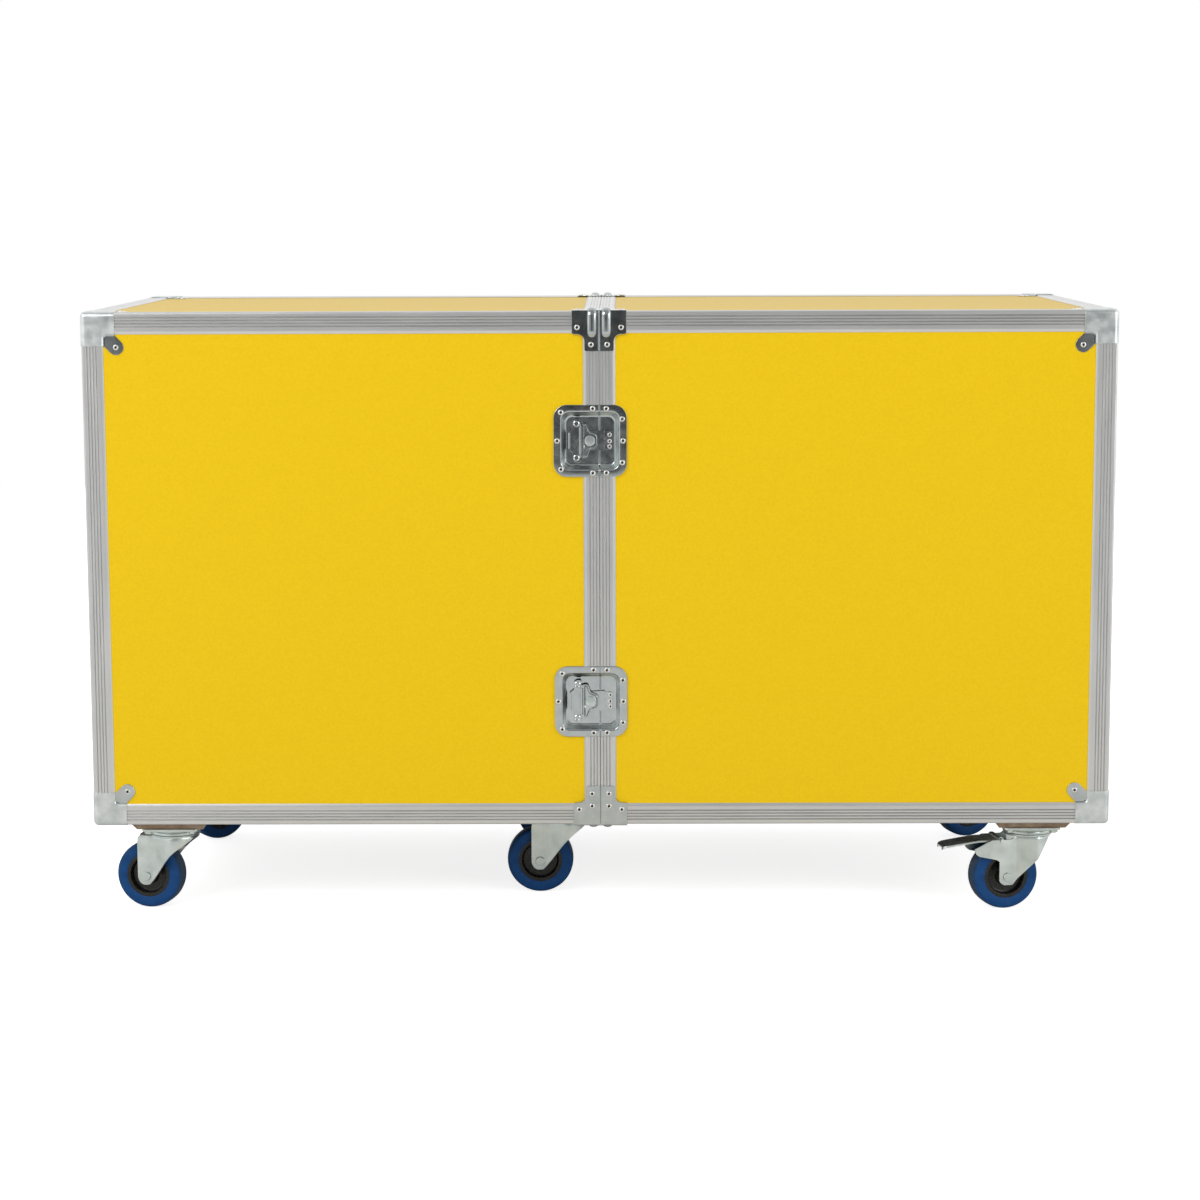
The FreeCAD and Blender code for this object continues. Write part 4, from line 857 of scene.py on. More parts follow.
def cap_lug(bm, order):
    """Lug on the wall: from the plate's inner corner along its diagonal, with a round end."""
    inner = [(CAP_SIZE, v) for v in LUG_LINES] + [(u, CAP_SIZE) for u in reversed(LUG_LINES[:-1])]
    tip = arc_points((LUG_CENTRE, LUG_CENTRE), LUG_RADIUS, math.radians(-45), math.radians(135), 10)
    root = Vector((CAP_SIZE, STEP_END))
    flank = [tuple(root.lerp(Vector(tip[0]), i / 3)) for i in range(3)]
    outer = flank + tip + [(v, u) for u, v in reversed(flank)]
    depth = panel_drop - CAP_PROUD
    rings(bm, [[on_plate(order, a, b, depth) for a, b in row] for row in (inner, outer)], closed=False)


def cap_mesh():
    bm = bmesh.new()
    for order in ((0, 1, 2), (1, 2, 0), (2, 0, 1)):
        cap_plate(bm, order)
        cap_lug(bm, order)
    face_away(bm, (CAP_SIZE,) * 3)
    return bm


def cap_corners(side):
    """Matrices that set the cap on the four corners of one half's end."""
    for y, dy in ((front, 1), (rear, -1)):
        for z, dz in ((base, 1), (top, -1)):
            yield Matrix.Translation((side * half_length, y, z)) @ mirror_matrix(-side, dy, dz)


def corner_caps(side, word):
    corners = list(cap_corners(side))
    # The proud plates take the paler zinc, painted lighter than the lugs: painted light.
    caps = made("caps_" + word, copied(cap_mesh(), corners), [bright_zinc, worn_zinc], word + "_half",
                "plated_steel", ["corner_caps_" + word], solid=False)
    for corner in corners:
        for depth in range(3):
            spot = [LUG_CENTRE] * 3
            spot[depth] = panel_drop - CAP_PROUD
            outward = [0, 0, 0]
            outward[depth] = -1
            add_rivet(word + "_half", corner @ Vector(spot), corner.to_3x3() @ Vector(outward))
    return thicken(caps, CAP_PROUD)


on_both_halves(corner_caps)

# %% [markdown]
# ## Seam braces
# Beside the seam each edge carries a bent plate. Over the edge it is pressed out into a long bulge, higher
# on the upper braces, which keeps the closing rail stiff where people grab it. The plate is an outline cut
# twice, once for each face. The bulge is a row of half-round sections that follow the edge round, low at
# both ends. The plate's edge along the seam is rolled, and that bead is a circle carried along the edge.

# %% Brace plates and their bulge
BRACE_PLATE = 1.5
BRACE_ARM, BRACE_ARM_HIGH = 39, 32.6
BRACE_LEG, BRACE_LEG_WIDE = 57, 21
BULGE_MIDDLE, BULGE_HALF = 10.2, 6.9
BULGE_RUN, BULGE_SLOPE, BULGE_BEND = 31, 9, 6
UPPER_BULGE, LOWER_BULGE = (5.7, 5.7), (1.4, 5.4)
SEAM_ROLL = 0.7
BRACE_RIVETS = {-1: [(31.5, 22.9, 0), (11.5, 47.4, 0)],
                1: [(31, 22.2, 0), (12.3, 45.5, 0), (12.3, 27.2, LOWER_BULGE[0])]}


def brace_outline():
    """Outline beside the seam: X away from the seam, Y away from the edge."""
    arm = [(seam_gap, -BRACE_PLATE), (BRACE_ARM, -BRACE_PLATE), (BRACE_ARM, BRACE_ARM_HIGH, 2.5)]
    leg = [(BRACE_LEG_WIDE, BRACE_ARM_HIGH, 10.5), (BRACE_LEG_WIDE, BRACE_LEG, 2.5), (seam_gap, BRACE_LEG)]
    return rounded(arm + leg)


def bulge_route(first_lift, second_lift):
    """Feet, outward directions, lifts and spreads of the bulge, from one face over the edge to the other."""
    run, slope, bend = BULGE_RUN, BULGE_SLOPE, BULGE_BEND
    tail = [(1, 0.02), (0.8, 0.12), (0.55, 0.36), (0.3, 0.68), (0.05, 0.88), (-0.3, 0.97)]
    face = [(run + slope * past, share) for past, share in tail] + [(run / 2, 1), (bend, 1)]
    route = []
    for along, share in face:
        route.append((Vector((0, along)), Vector((-1, 0)), first_lift * share, share))
    for i in range(1, 6):
        a = math.radians(15 * i)
        outward = Vector((-math.cos(a), -math.sin(a)))
        lift = first_lift + (second_lift - first_lift) * i / 6
        route.append((Vector((bend, bend)) + outward * bend, outward, lift, 1))
    for along, share in reversed(face):
        route.append((Vector((along, 0)), Vector((0, -1)), second_lift * share, share))
    return route


def bulge(bm, lifts, place):
    """Swelling over the edge, with a flat crest and round flanks; its foot lies under the plates."""
    angles = [math.pi * i / 14 for i in range(15)]
    loops = []
    for foot, outward, lift, spread in bulge_route(*lifts):
        half = BULGE_HALF * (0.45 + 0.55 * spread)
        loop = []
        for a in angles:
            spot = foot + outward * lift * math.sin(a) ** 0.6
            loop.append((BULGE_MIDDLE - half * math.cos(a), spot.x, spot.y))
        loops.append(loop)
    verts = rings(bm, loops, cap_first=True, cap_last=True)
    bmesh.ops.transform(bm, matrix=place, verts=verts)


def brace(bm, side, y_sign, z_sign):
    """One brace; the Y and Z signs point from its edge into the case."""
    edge = Vector((0, front if y_sign > 0 else rear, base if z_sign > 0 else top))
    place = Matrix.Translation(edge) @ mirror_matrix(side, y_sign, z_sign)
    for turn in (upright, Matrix()):
        plate(bm, brace_outline(), -BRACE_PLATE, 0, place @ turn, soften=0.6)
    bulge(bm, UPPER_BULGE if z_sign < 0 else LOWER_BULGE, place)
    out, along = -BRACE_PLATE, BRACE_LEG - 1
    roll = carried(bm, [(out, along), (out, out), (along, out)], SEAM_ROLL, seam_gap + SEAM_ROLL, 12)
    bmesh.ops.transform(bm, matrix=place, verts=roll)
    return place


def seam_braces(side, word):
    bm = bmesh.new()
    body = word + "_half"
    for y_sign, z_sign in ((1, 1), (1, -1), (-1, 1), (-1, -1)):
        place = brace(bm, side, y_sign, z_sign)
        for x, away, lift in BRACE_RIVETS[z_sign]:
            add_rivet(body, place @ Vector((x, -max(BRACE_PLATE, lift), away)), (0, -y_sign, 0))
            if not lift:
                add_rivet(body, place @ Vector((x, away, -BRACE_PLATE)), (0, 0, -z_sign))
    return made("braces_" + word, bm, [bright_zinc], body, "plated_steel", ["seam_braces_" + word])


on_both_halves(seam_braces)

# %% [markdown]
# ## Latch dishes
# Each latch sits in a square dish pressed from sheet, with a flange that is riveted over the rails. The dish
# spans the seam, so it is cut in two and each half keeps its own part. Rounded rectangles joined one to the
# next give the flange, the rolled lip, the sloping wall and the floor. The wall is rubbed dull by fingers and
# tools, so it has the worn finish. The cut at the seam is made last.

# %% Latch dishes
FLANGE_PROUD = 1.4
DISH_DEEP, DISH_WALL = 9.4, 8.8
DISH_SHEET = 1.2
DISH_RINGS = [(105.4, 103.6, 19, 1.9), (105.4, 103.6, 19, -0.7), (104.9, 103.1, 18.8, -1.15),
              (103.9, 102.1, 18.3, -1.4), (87, 87, 13.5, -1.4), (84.4, 84.4, 12.4, -1.25),
              (82.6, 82.6, 11.6, -0.6), (81.4, 81.4, 11, 0.6), (74, 74, 10, 7.4), (72.6, 72.6, 9.6, 8.6),
              (70, 70, 9, 9.25), (67, 67, 8, 9.4)]
LATCH_RIVETS = {"left": [(-42, 41), (-42, -41), (-47.5, 0), (3.7, 46.3), (3.7, -46.3)],
                "right": [(46, 31.3), (46, -31.3), (47, 0), (23.2, 46), (23.2, -46)]}


def dish_half(side):
    """Part of a dish on one side of the seam, with its middle at height zero."""
    bm = bmesh.new()
    loops = []
    for wide, tall, corner, depth in DISH_RINGS:
        loops.append([(x, depth, z) for x, z in rounded_rectangle(wide, tall, corner, 8)])
    rings(bm, loops, cap_last=True)
    for face in bm.faces:
        face.material_index = int(0 < face.calc_center_median().y < DISH_WALL)
    bmesh.ops.translate(bm, vec=(LATCH_X, front, 0), verts=bm.verts)
    everything = bm.verts[:] + bm.edges[:] + bm.faces[:]
    bmesh.ops.bisect_plane(bm, geom=everything, plane_co=(side * seam_gap, 0, 0), plane_no=(side, 0, 0),
                           clear_inner=True)
    face_away(bm, (0, rear, 0))
    return bm


def dish_rolls(side, word):
    """Beads along the cut edges of the dishes, from the upper flange over the floor to the lower flange."""
    bm = bmesh.new()
    upper = [(depth + 0.2, tall / 2) for wide, tall, corner, depth in DISH_RINGS[3:]]
    line = upper + [(depth, -z) for depth, z in reversed(upper)]
    for height in LATCH_HEIGHTS.values():
        roll = carried(bm, line, SEAM_ROLL, side * (seam_gap + SEAM_ROLL), 12)
        bmesh.ops.translate(bm, vec=(0, front, height), verts=roll)
    return made("dish_rolls_" + word, bm, [bright_zinc], word + "_half", "plated_steel")


def latch_dishes(side, word):
    bm = copied(dish_half(side), [Matrix.Translation((0, 0, height)) for height in LATCH_HEIGHTS.values()])
    for height in LATCH_HEIGHTS.values():
        for x, z in LATCH_RIVETS[word]:
            add_rivet(word + "_half", (LATCH_X + x, front - FLANGE_PROUD, height + z), (0, -1, 0))
    dishes = made("dishes_" + word, bm, [bright_zinc, worn_zinc], word + "_half", "plated_steel",
                  ["latch_dishes_" + word], solid=False)
    return thicken(dishes, DISH_SHEET, 0.5)


on_both_halves(latch_dishes, dish_rolls)

# %% [markdown]
# ## Latch works
# Turning the wing turns a spindle, and a crank under its plate pulls a hook sideways off the keeper on the
# other half. The spindle's plate is a waisted drop with a rolled rim, the wing is a folded sheet with two
# finger lobes, and the hook is a flat bar with a waved end. Wing, spindle and hook move, so each is a piece
# on its own body, in the place where the solids have it.

# %% Plate of the spindle
CAM_FRONT, CAM_BACK = 1.2, 2.6
CAM_MIDDLE = (CAM_FRONT + CAM_BACK) / 2
WING_PIN, PIN_HALF = -14.2, 24
CURL_HALF = 19
UPPER_FLANK = [(11.2, 9.5, 8), (-0.5, 13.5, 4), (-4.5, 25, 3), (-11.6, 25, 1.5)]
LEAST_ROUND = 0.4


def latch_frame(label):
    """Frame of a latch: X across, Y into the case, Z up."""
    return Matrix.Translation((LATCH_X, front, LATCH_HEIGHTS[label]))


def teardrop(grow):
    """Outline of the spindle's plate, with each side moved out by a distance and its corners kept round."""
    corners = UPPER_FLANK + [(x, -z, radius) for x, z, radius in reversed(UPPER_FLANK)]
    spots = [Vector(corner[:2]) for corner in corners]
    moved = []
    for i, spot in enumerate(spots):
        before = (spot - spots[i - 1]).normalized()
        after = (spots[(i + 1) % len(spots)] - spot).normalized()
        outward = Vector((before.y + after.y, -before.x - after.x)) / (1 + before.dot(after))
        bend = 1 if before.cross(after) > 0 else -1
        moved.append((*(spot + outward * grow), max(corners[i][2] + bend * grow, LEAST_ROUND)))
    return rounded(moved)


def spindle_mesh():
    bm = bmesh.new()
    plate(bm, teardrop(0), CAM_FRONT, CAM_BACK, upright, soften=0.55)
    heights = [(teardrop(-1.2), 0.1), (teardrop(-2.3), -1.3), (teardrop(-3.6), 0.1), (teardrop(-1.2), 0.1)]
    rings(bm, [[(x, CAM_FRONT + lift, z) for x, z in outline] for outline, lift in heights])
    boss = [(0, 0), (8, 0), (8, 6.6), (4, 6.7), (4, 8.2), (0, 8.2)]
    turned(bm, boss, facing((0, CAM_BACK - 0.2, 0), (0, 1, 0)), 32)
    head = [(0, 0), (7.6, 0), (7.6, 0.9), (7.1, 1.3), (6.2, 1.4), (5.8, 1.1), (0, 1.1)]
    others = set(bm.faces)
    turned(bm, head, facing((-0.5, CAM_FRONT + 0.1, 0), (0, -1, 0)), 32)
    for face in set(bm.faces) - others:
        face.material_index = 1
    pin = [(0, 0), (1.2, 0), (1.2, 2 * PIN_HALF), (0, 2 * PIN_HALF)]
    turned(bm, pin, facing((WING_PIN, CAM_MIDDLE, -PIN_HALF), (0, 0, 1)), 16)
    for low in (CURL_HALF + 0.4, -CURL_HALF - 4.9):
        ear = rounded([(-15.6, low, 0.6), (-11, low), (-11, low + 4.5), (-15.6, low + 4.5, 0.6)])
        plate(bm, ear, CAM_FRONT, CAM_BACK, upright, soften=0.2)
    return finished("latch_spindle", bm, bright_zinc, satin_zinc)


# %% Wing
def wing_outline():
    """Two finger lobes joined by a bar, with notches for the spindle's ears."""
    half = [(WING_PIN, CURL_HALF), (-16, CURL_HALF), (-16, 24.5), (WING_PIN, 24.5), (WING_PIN, 31.2, 2.5)]
    half += [(-24.8, 31.2, 6), (-24.8, 17.5, 3), (-31, 12.5, 3)]
    return rounded(half + [(corner[0], -corner[1], *corner[2:]) for corner in reversed(half)])


def wing_mesh():
    bm = bmesh.new()
    plate(bm, wing_outline(), CAM_FRONT, CAM_BACK, upright, soften=0.5)
    curl = [(1.25, 0), (2.1, 0), (2.1, 2 * CURL_HALF), (1.25, 2 * CURL_HALF), (1.25, 0)]
    turned(bm, curl, facing((WING_PIN, CAM_MIDDLE, -CURL_HALF), (0, 0, 1)), 20)
    ring = [(4.7, -0.2), (4.4, 0.5), (3.6, 0.95), (2.8, 0.5), (2.4, -0.2), (4.7, -0.2)]
    for z in (-24.5, 24.5):
        turned(bm, ring, facing((-19.8, CAM_FRONT, z), (0, -1, 0)))
    lip = [(-31.2, 0.9), (-30.2, 0.2), (-29, 0.5), (-28.4, 1.3), (-29.4, 1.9), (-30.8, 1.8)]
    rings(bm, [[(x, y, z) for x, y in lip] for z in (-11.5, 11.5)], cap_first=True, cap_last=True)
    return finished("latch_wing", bm, bright_zinc)


# %% Hook with a slot round the boss
HOOK_NEAR, HOOK_FAR = 5, 7


def holed_plate(bm, outline, hole, low, high, place):
    """Flat plate with one hole."""
    edges = []
    for loop in (outline, hole):
        ring = [bm.verts.new((x, y, low)) for x, y in loop]
        edges += [bm.edges.new((a, b)) for a, b in zip(ring, ring[1:] + ring[:1])]
    filled = bmesh.ops.triangle_fill(bm, use_beauty=True, edges=edges)["geom"]
    faces = [item for item in filled if isinstance(item, bmesh.types.BMFace)]
    sole = {vert for face in faces for vert in face.verts}
    raised = bmesh.ops.extrude_face_region(bm, geom=faces)["geom"]
    lifted = {item for item in raised if isinstance(item, bmesh.types.BMVert)}
    bmesh.ops.translate(bm, vec=(0, 0, high - low), verts=list(lifted))
    bmesh.ops.transform(bm, matrix=place, verts=list(sole | lifted))


def hook_mesh():
    bm = bmesh.new()
    wave = [(20.2 + 0.8 * math.cos(z * 0.6), z) for z in range(-14, 15)]
    outline = [(19.6, -15)] + wave + [(19.6, 15)] + rounded([(-19.5, 15, 5), (-19.5, -15, 5), (19.6, 0)])[:-1]
    slot = rounded([(8.4, 8.4, 7), (-13.9, 8.4, 7), (-13.9, -8.4, 7), (8.4, -8.4, 7)])
    holed_plate(bm, outline, slot, HOOK_NEAR, HOOK_FAR, upright)
    return finished("latch_hook", bm, bright_zinc)


works = {"spindle": spindle_mesh(), "wing": wing_mesh(), "hook": hook_mesh()}
for label in LATCH_HEIGHTS:
    for kind, mesh in works.items():
        node = "latch_%s_%s" % (kind, label)
        piece = show(node + "_shown", mesh, node, [node], latch_frame(label))
        if kind == "hook":
            soft_rim(piece, 0.5)
        print(piece.name, len(mesh.polygons), "faces")

# %% Keepers
KEEPER_NEAR, KEEPER_FAR, KEEPER_HALF = 5.5, 18, 13
KEEPER_FOOT = 1.2


def latch_keepers():
    """Foot on the dish floor and the post that the hook draws in."""
    bm = bmesh.new()
    for height in LATCH_HEIGHTS.values():
        place = Matrix.Translation((0, front, height)) @ upright
        foot = [(KEEPER_NEAR, -KEEPER_HALF), (KEEPER_FAR, -KEEPER_HALF, 2), (KEEPER_FAR, KEEPER_HALF, 2)]
        plate(bm, rounded(foot + [(KEEPER_NEAR, KEEPER_HALF)]), DISH_DEEP - KEEPER_FOOT, DISH_DEEP, place)
        middle = (KEEPER_NEAR + KEEPER_FAR) / 2
        post = [(middle, -KEEPER_HALF, 1), (middle + 2.5, -KEEPER_HALF, 1), (middle + 2.5, KEEPER_HALF, 1)]
        plate(bm, rounded(post + [(middle, KEEPER_HALF, 1)], 3), HOOK_FAR + 0.3, DISH_DEEP, place, soften=0.5)
        for z in (8.1, -1.2, -8.8):
            spot = (KEEPER_FAR - 3.4, front + DISH_DEEP - KEEPER_FOOT, height + z)
            add_rivet("right_half", spot, (0, -1, 0), SMALL_RIVET)
    return made("keepers", bm, [bright_zinc], "right_half", "plated_steel", ["latch_keepers"])


keepers = latch_keepers()
print(keepers.name, len(keepers.data.polygons), "faces")

# %% [markdown]
# ## Wheels
# The tyres are blue rubber on black nylon hubs. Both are turned, so each is one profile, drawn as half a
# cross-section and spun. The six wheels share two meshes. Their own Z axis is the axle, so that the finish
# can tell tread from sidewall by the distance from it.

# %% Wheels
TRAIL, AXLE_HEIGHT = 38, 50
SWIVEL = "castor_swivel_"
CASTORS = [name[len(SWIVEL):] for name in frame["bodies"] if name.startswith(SWIVEL)]
BRAKED = [name for name in CASTORS if name.endswith("right")]
TYRE_SIDE = [(33, 16.4), (34, 17), (38, 17.5), (43.5, 17.6), (45.8, 17), (47.6, 15.6), (48.9, 13.2),
             (49.6, 10), (49.9, 5)]
HUB_SIDE = [(6.1, 20.6), (12.2, 20.6), (13, 19.8), (13.2, 9), (14.6, 7.2), (17, 6.6), (23.5, 6.6),
            (25.6, 7.4), (26.6, 9.2), (27.4, 15.4), (28, 16.3), (29, 16.6), (32.6, 16.6), (33, 16.4)]


def castor_frame(name):
    """Frame of a castor: its swivel axis at the origin, floor at zero, wheel towards -X."""
    spot = joint_point("castor_swivel_%s_turn" % name)
    axle = joints["castor_wheel_%s_spin" % name]["axis"]
    turn = math.atan2(-axle[0], axle[1])
    return Matrix.Translation((spot.x, spot.y, 0)) @ Matrix.Rotation(turn, 4, "Z")


def both_sides(profile):
    """Profile of one side of a wheel, carried on to the other side and closed."""
    return profile + [(radius, -height) for radius, height in reversed(profile)] + profile[:1]


def wheel_part(name, profile, finish):
    bm = bmesh.new()
    turned(bm, both_sides(profile), sides=72)
    return finished(name, bm, finish)


wheel_meshes = {"tyre": wheel_part("tyre", TYRE_SIDE, blue_rubber),
                "hub": wheel_part("hub", HUB_SIDE, black_nylon)}
for name in CASTORS:
    axle = castor_frame(name) @ facing((-TRAIL, 0, AXLE_HEIGHT), (0, 1, 0))
    for kind, mesh in wheel_meshes.items():
        node = "castor_%s_%s" % (kind, name)
        show("%s_%s" % (kind, name), mesh, "castor_wheel_" + name, [node], axle)
print("wheels", len(CASTORS), "faces each", sum(len(mesh.polygons) for mesh in wheel_meshes.values()))

# %% [markdown]
# ## Castor forks
# A fork is one steel blank: a round crown, and two legs folded down beside the wheel. It is drawn here the
# way it is pressed. Rows run up one leg, over the fold, across the crown and down the other leg, and each row
# is as long as the blank is wide there. The sheet then gets its thickness. The right half's forks reach back
# in a nose that carries the brake pedal.

# %% Blanks of the two forks
FORK_HALF, FORK_PLATE, FOLD = 24.5, 2.5, 5
CREASE, CREASE_ROUND, FLARE = -25, 0.9, 0.42
CROWN_TOP, CROWN_RADIUS = 113.7, 36
PEDAL_PIN = (-48, 105.3)
PLAIN_LEG = [(37, -41, -35), (38, -44.5, -32.5), (40, -47, -30.5), (43.5, -49.5, -27.5), (48, -51, -24),
             (56, -51, -18), (66, -51, -10.8), (76, -51, -3.3), (84, -51, 3.5), (90, -51, 10), (96, -51, 18),
             (101, -51, 25), (105, -50.5, 30), (108.7, -50, 33)]
BRAKED_LEG = [(38, -43.5, -31.5), (39.5, -46, -29.5), (42, -49.3, -27.6), (45, -51, -25.4), (48, -51, -23),
              (55, -51, -16.6), (63, -51, -9.2), (70, -51, -2.8), (73.6, -51, 0.5), (75.5, -53.5, 2.3),
              (77, -57, 3.7), (78.5, -63.5, 5), (82.7, -82, 7.4), (85, -85.5, 8.8), (88, -88, 10.5),
              (94, -89.5, 14), (97, -83.1, 15.8), (100, -76.7, 17.6), (104, -68.1, 20), (106.3, -63.2, 21.4),
              (106.4, -34, 21.5), (108.7, -30, 23)]


def fork_rows(leg, crown_start):
    """Rows of the blank: place across the fork, height, and the two ends of the row."""
    rows = [(FORK_HALF, z, low, high) for z, low, high in leg]
    for degrees in (30, 60, 90):
        a = math.radians(degrees)
        y, z = FORK_HALF - FOLD * (1 - math.cos(a)), CROWN_TOP - FOLD * (1 - math.sin(a))
        rows.append((y, z, crown_start, 30))
    rows.append((10, CROWN_TOP, crown_start, 34))
    return rows + [(-y, z, low, high) for y, z, low, high in reversed(rows)]


def half_width(x):
    """Half the fork's width: straight up to the crease, then flaring, and at last round like the crown."""
    flared = FORK_HALF + FLARE * max(0, x - CREASE)
    return min(flared, math.sqrt(CROWN_RADIUS ** 2 - x ** 2)) if x > 0 else flared


def flared_row(y, z, low, high):
    """One row of the blank, from its rear end over the crease to its front end."""
    crease = min(CREASE, low + 0.75 * (high - low))
    behind, ahead = crease - CREASE_ROUND, crease + CREASE_ROUND
    places = [low + (behind - low) * i / 4 for i in range(5)] + [crease]
    places += [ahead + (high - ahead) * i / 9 for i in range(10)]
    return [(x, y * half_width(x) / FORK_HALF, z) for x in places]


def fork_sheet(leg, crown_start):
    bm = bmesh.new()
    rings(bm, [flared_row(*row) for row in fork_rows(leg, crown_start)], closed=False)
    face_away(bm, (-20, 0, 60))
    return bm


fork_sheets = {False: finished("fork_plain", fork_sheet(PLAIN_LEG, -47), satin_zinc, solid=False),
               True: finished("fork_braked", fork_sheet(BRAKED_LEG, -28), satin_zinc, solid=False)}
for name in CASTORS:
    sheet = fork_sheets[name in BRAKED]
    node = "castor_fork_" + name
    fork = show("fork_" + name, sheet, SWIVEL + name, [node], castor_frame(name))
    thicken(fork, FORK_PLATE, 0.4)
print("forks", len(CASTORS), "sheet faces", [len(mesh.polygons) for mesh in fork_sheets.values()])

# %% [markdown]
# ## Axles, crowns and ball races
# Over the fork lies a round crown, then two pressed rings with the balls between them, then the top plate
# with its four bolts. An axle with round flat heads goes through the legs and the wheel. The crown and the
# axle turn with the fork. The race and the plate stay on the case.

# %% Crown and axle of a fork
def fork_fittings(braked):
    bm = bmesh.new()
    crown = [(0, 110.9), (35.4, 110.9), (36, 111.4), (36, 113.3), (35.4, 113.9), (0, 113.9)]
    turned(bm, crown, sides=64)
    turned(bm, [(0, 104), (9, 104), (10, 104.6), (10, 108), (6, 108.2), (6, 111), (0, 111)], sides=6)
    spots = [(-TRAIL, AXLE_HEIGHT, 6.9)]
    if braked:
        spots.append((*PEDAL_PIN, 3.2))
    for x, z, size in spots:
        neck = size * 0.82
        head = [(0, 0), (neck, 0), (neck, 0.8), (size, 0.8), (size, 2), (size * 0.92, 2.8), (0, 3)]
        for sign in (-1, 1):
            turned(bm, head, facing((x, sign * (FORK_HALF - 0.2), z), (0, sign, 0)), 32)
    reach = 2 * FORK_HALF
    axle = facing((-TRAIL, -FORK_HALF, AXLE_HEIGHT), (0, 1, 0))
    turned(bm, [(0, 0), (6, 0), (6, reach), (0, reach)], axle)
    return finished("fork_fittings", bm, satin_zinc)


fittings = {braked: fork_fittings(braked) for braked in (False, True)}
for name in CASTORS:
    parts = fittings[name in BRAKED]
    show("crown_axle_" + name, parts, SWIVEL + name, (), castor_frame(name))
print("crowns and axles", len(CASTORS))

# %% Races and top plates on the case
PLATE_UNDER, PLATE_TOP = 125, 128
BOLTS = [(x, y) for y in (-42, 42) for x in (-32, 32)]
WASHER = [(0, 0), (8, 0), (8, 0.9), (7.4, 1.1), (0, 1.1)]
BOLT_HEAD = [(0, 0.8), (6.5, 0.8), (6.5, 4.2), (5.6, 4.9), (0, 5)]
RACE = [(0, 114.2), (35.6, 114.2), (36.9, 115), (37.1, 117), (36.6, 118.6), (35.3, 119.3), (35.3, 119.8),
        (36.6, 120.4), (37.1, 122), (36.6, 124), (34, 125), (0, 125)]


def castor_tops(side, word):
    bm = bmesh.new()
    for name in CASTORS:
        if (name in BRAKED) != (side > 0):
            continue
        spot = joint_point("castor_swivel_%s_turn" % name)
        place = Matrix.Translation((spot.x, spot.y, 0))
        turned(bm, RACE, place, 64)
        turned(bm, [(0, 108), (6, 108), (6, 114.4), (0, 114.4)], place)
        plate(bm, rounded_rectangle(84, 103, 8), PLATE_UNDER, PLATE_TOP, place, soften=0.4)
        for x, y in BOLTS:
            under = facing(place @ Vector((x, y, PLATE_UNDER)), (0, 0, -1))
            turned(bm, WASHER, under)
            turned(bm, BOLT_HEAD, under, 6)
    dress("castor_pads_" + word, pad_plywood)
    replaced = ["castor_plates_" + word]
    return made("castor_tops_" + word, bm, [satin_zinc], word + "_half", "plated_steel", replaced)


on_both_halves(castor_tops)

# %% [markdown]
# ## Brake pedals
# The two castors on the right half have a pedal over the wheel. It is a bent plate that hangs on a pin across
# the fork's nose, with its sides folded down for stiffness and its end turned down for the toe. Rows across
# the pedal follow that bend.

# %% Brake pedals
PEDAL_HALF, PEDAL_PLATE = 19.5, 2.2
PEDAL_LINE = [(-44, 106.2, 0.9), (-52, 106.5, 1), (-66, 106.5, 1), (-80, 106.4, 1), (-84, 106.2, 1),
              (-100, 104.2, 1), (-118, 101.9, 1), (-128, 100.5, 0.96), (-133, 99.3, 0.84),
              (-135.4, 97.8, 0.66), (-136, 96, 0.5)]


def pedal_mesh():
    bm = bmesh.new()
    half = [(1, -3.2), (1, -1.2), (0.96, -0.3), (0.9, 0), (0.4, 0)]
    across = [(-t, drop) for t, drop in half] + [(0, 0)] + half[::-1]
    loops = []
    for x, z, wide in PEDAL_LINE:
        loops.append([(x, PEDAL_HALF * wide * t, z + drop) for t, drop in across])
    rings(bm, loops, closed=False)
    face_away(bm, (-90, 0, 0))
    return finished("pedal", bm, satin_zinc, solid=False)


def pedal_fittings():
    """Barrel round the pin, and the shoe that presses on the tyre."""
    bm = bmesh.new()
    barrel = [(2.55, 0), (4.6, 0), (4.6, 2 * PEDAL_HALF), (2.55, 2 * PEDAL_HALF), (2.55, 0)]
    turned(bm, barrel, facing((PEDAL_PIN[0], -PEDAL_HALF, PEDAL_PIN[1]), (0, 1, 0)))
    shoe = rounded([(-64, -14, 1.5), (-56, -14, 1.5), (-56, 14, 1.5), (-64, 14, 1.5)])
    plate(bm, shoe, 99.2, 105, soften=0.6)
    return finished("pedal_fittings", bm, satin_zinc)


pedal, pedal_parts = pedal_mesh(), pedal_fittings()
for name in BRAKED:
    body = "brake_pedal_" + name
    thicken(show("pedal_" + name, pedal, body, [body], castor_frame(name)), PEDAL_PLATE)
    show("pedal_shoe_" + name, pedal_parts, body, (), castor_frame(name))
print("pedal faces", len(pedal.polygons))

# %% [markdown]
# ## Hinges
# Two butt hinges behind the seam carry the right half. The left leaf has the outer knuckles and holds the
# pin, the right leaf has the middle one. Leaves are cut plates, knuckles are turned tubes with a short curl
# that joins them to the leaf.

# %% Hinges
HINGE_LENGTH, LEAF_WIDE, LEAF_THICK = 84, 21, 2
KNUCKLE, HINGE_PIN = 5.5, 3
HINGE_INSET, HINGE_SCREWS = 165, (10, 42, 74)
hinge_y = joint_point("right_half_swing").y
hinge_lows = [middle - HINGE_LENGTH / 2 for middle in (base + HINGE_INSET, top - HINGE_INSET)]


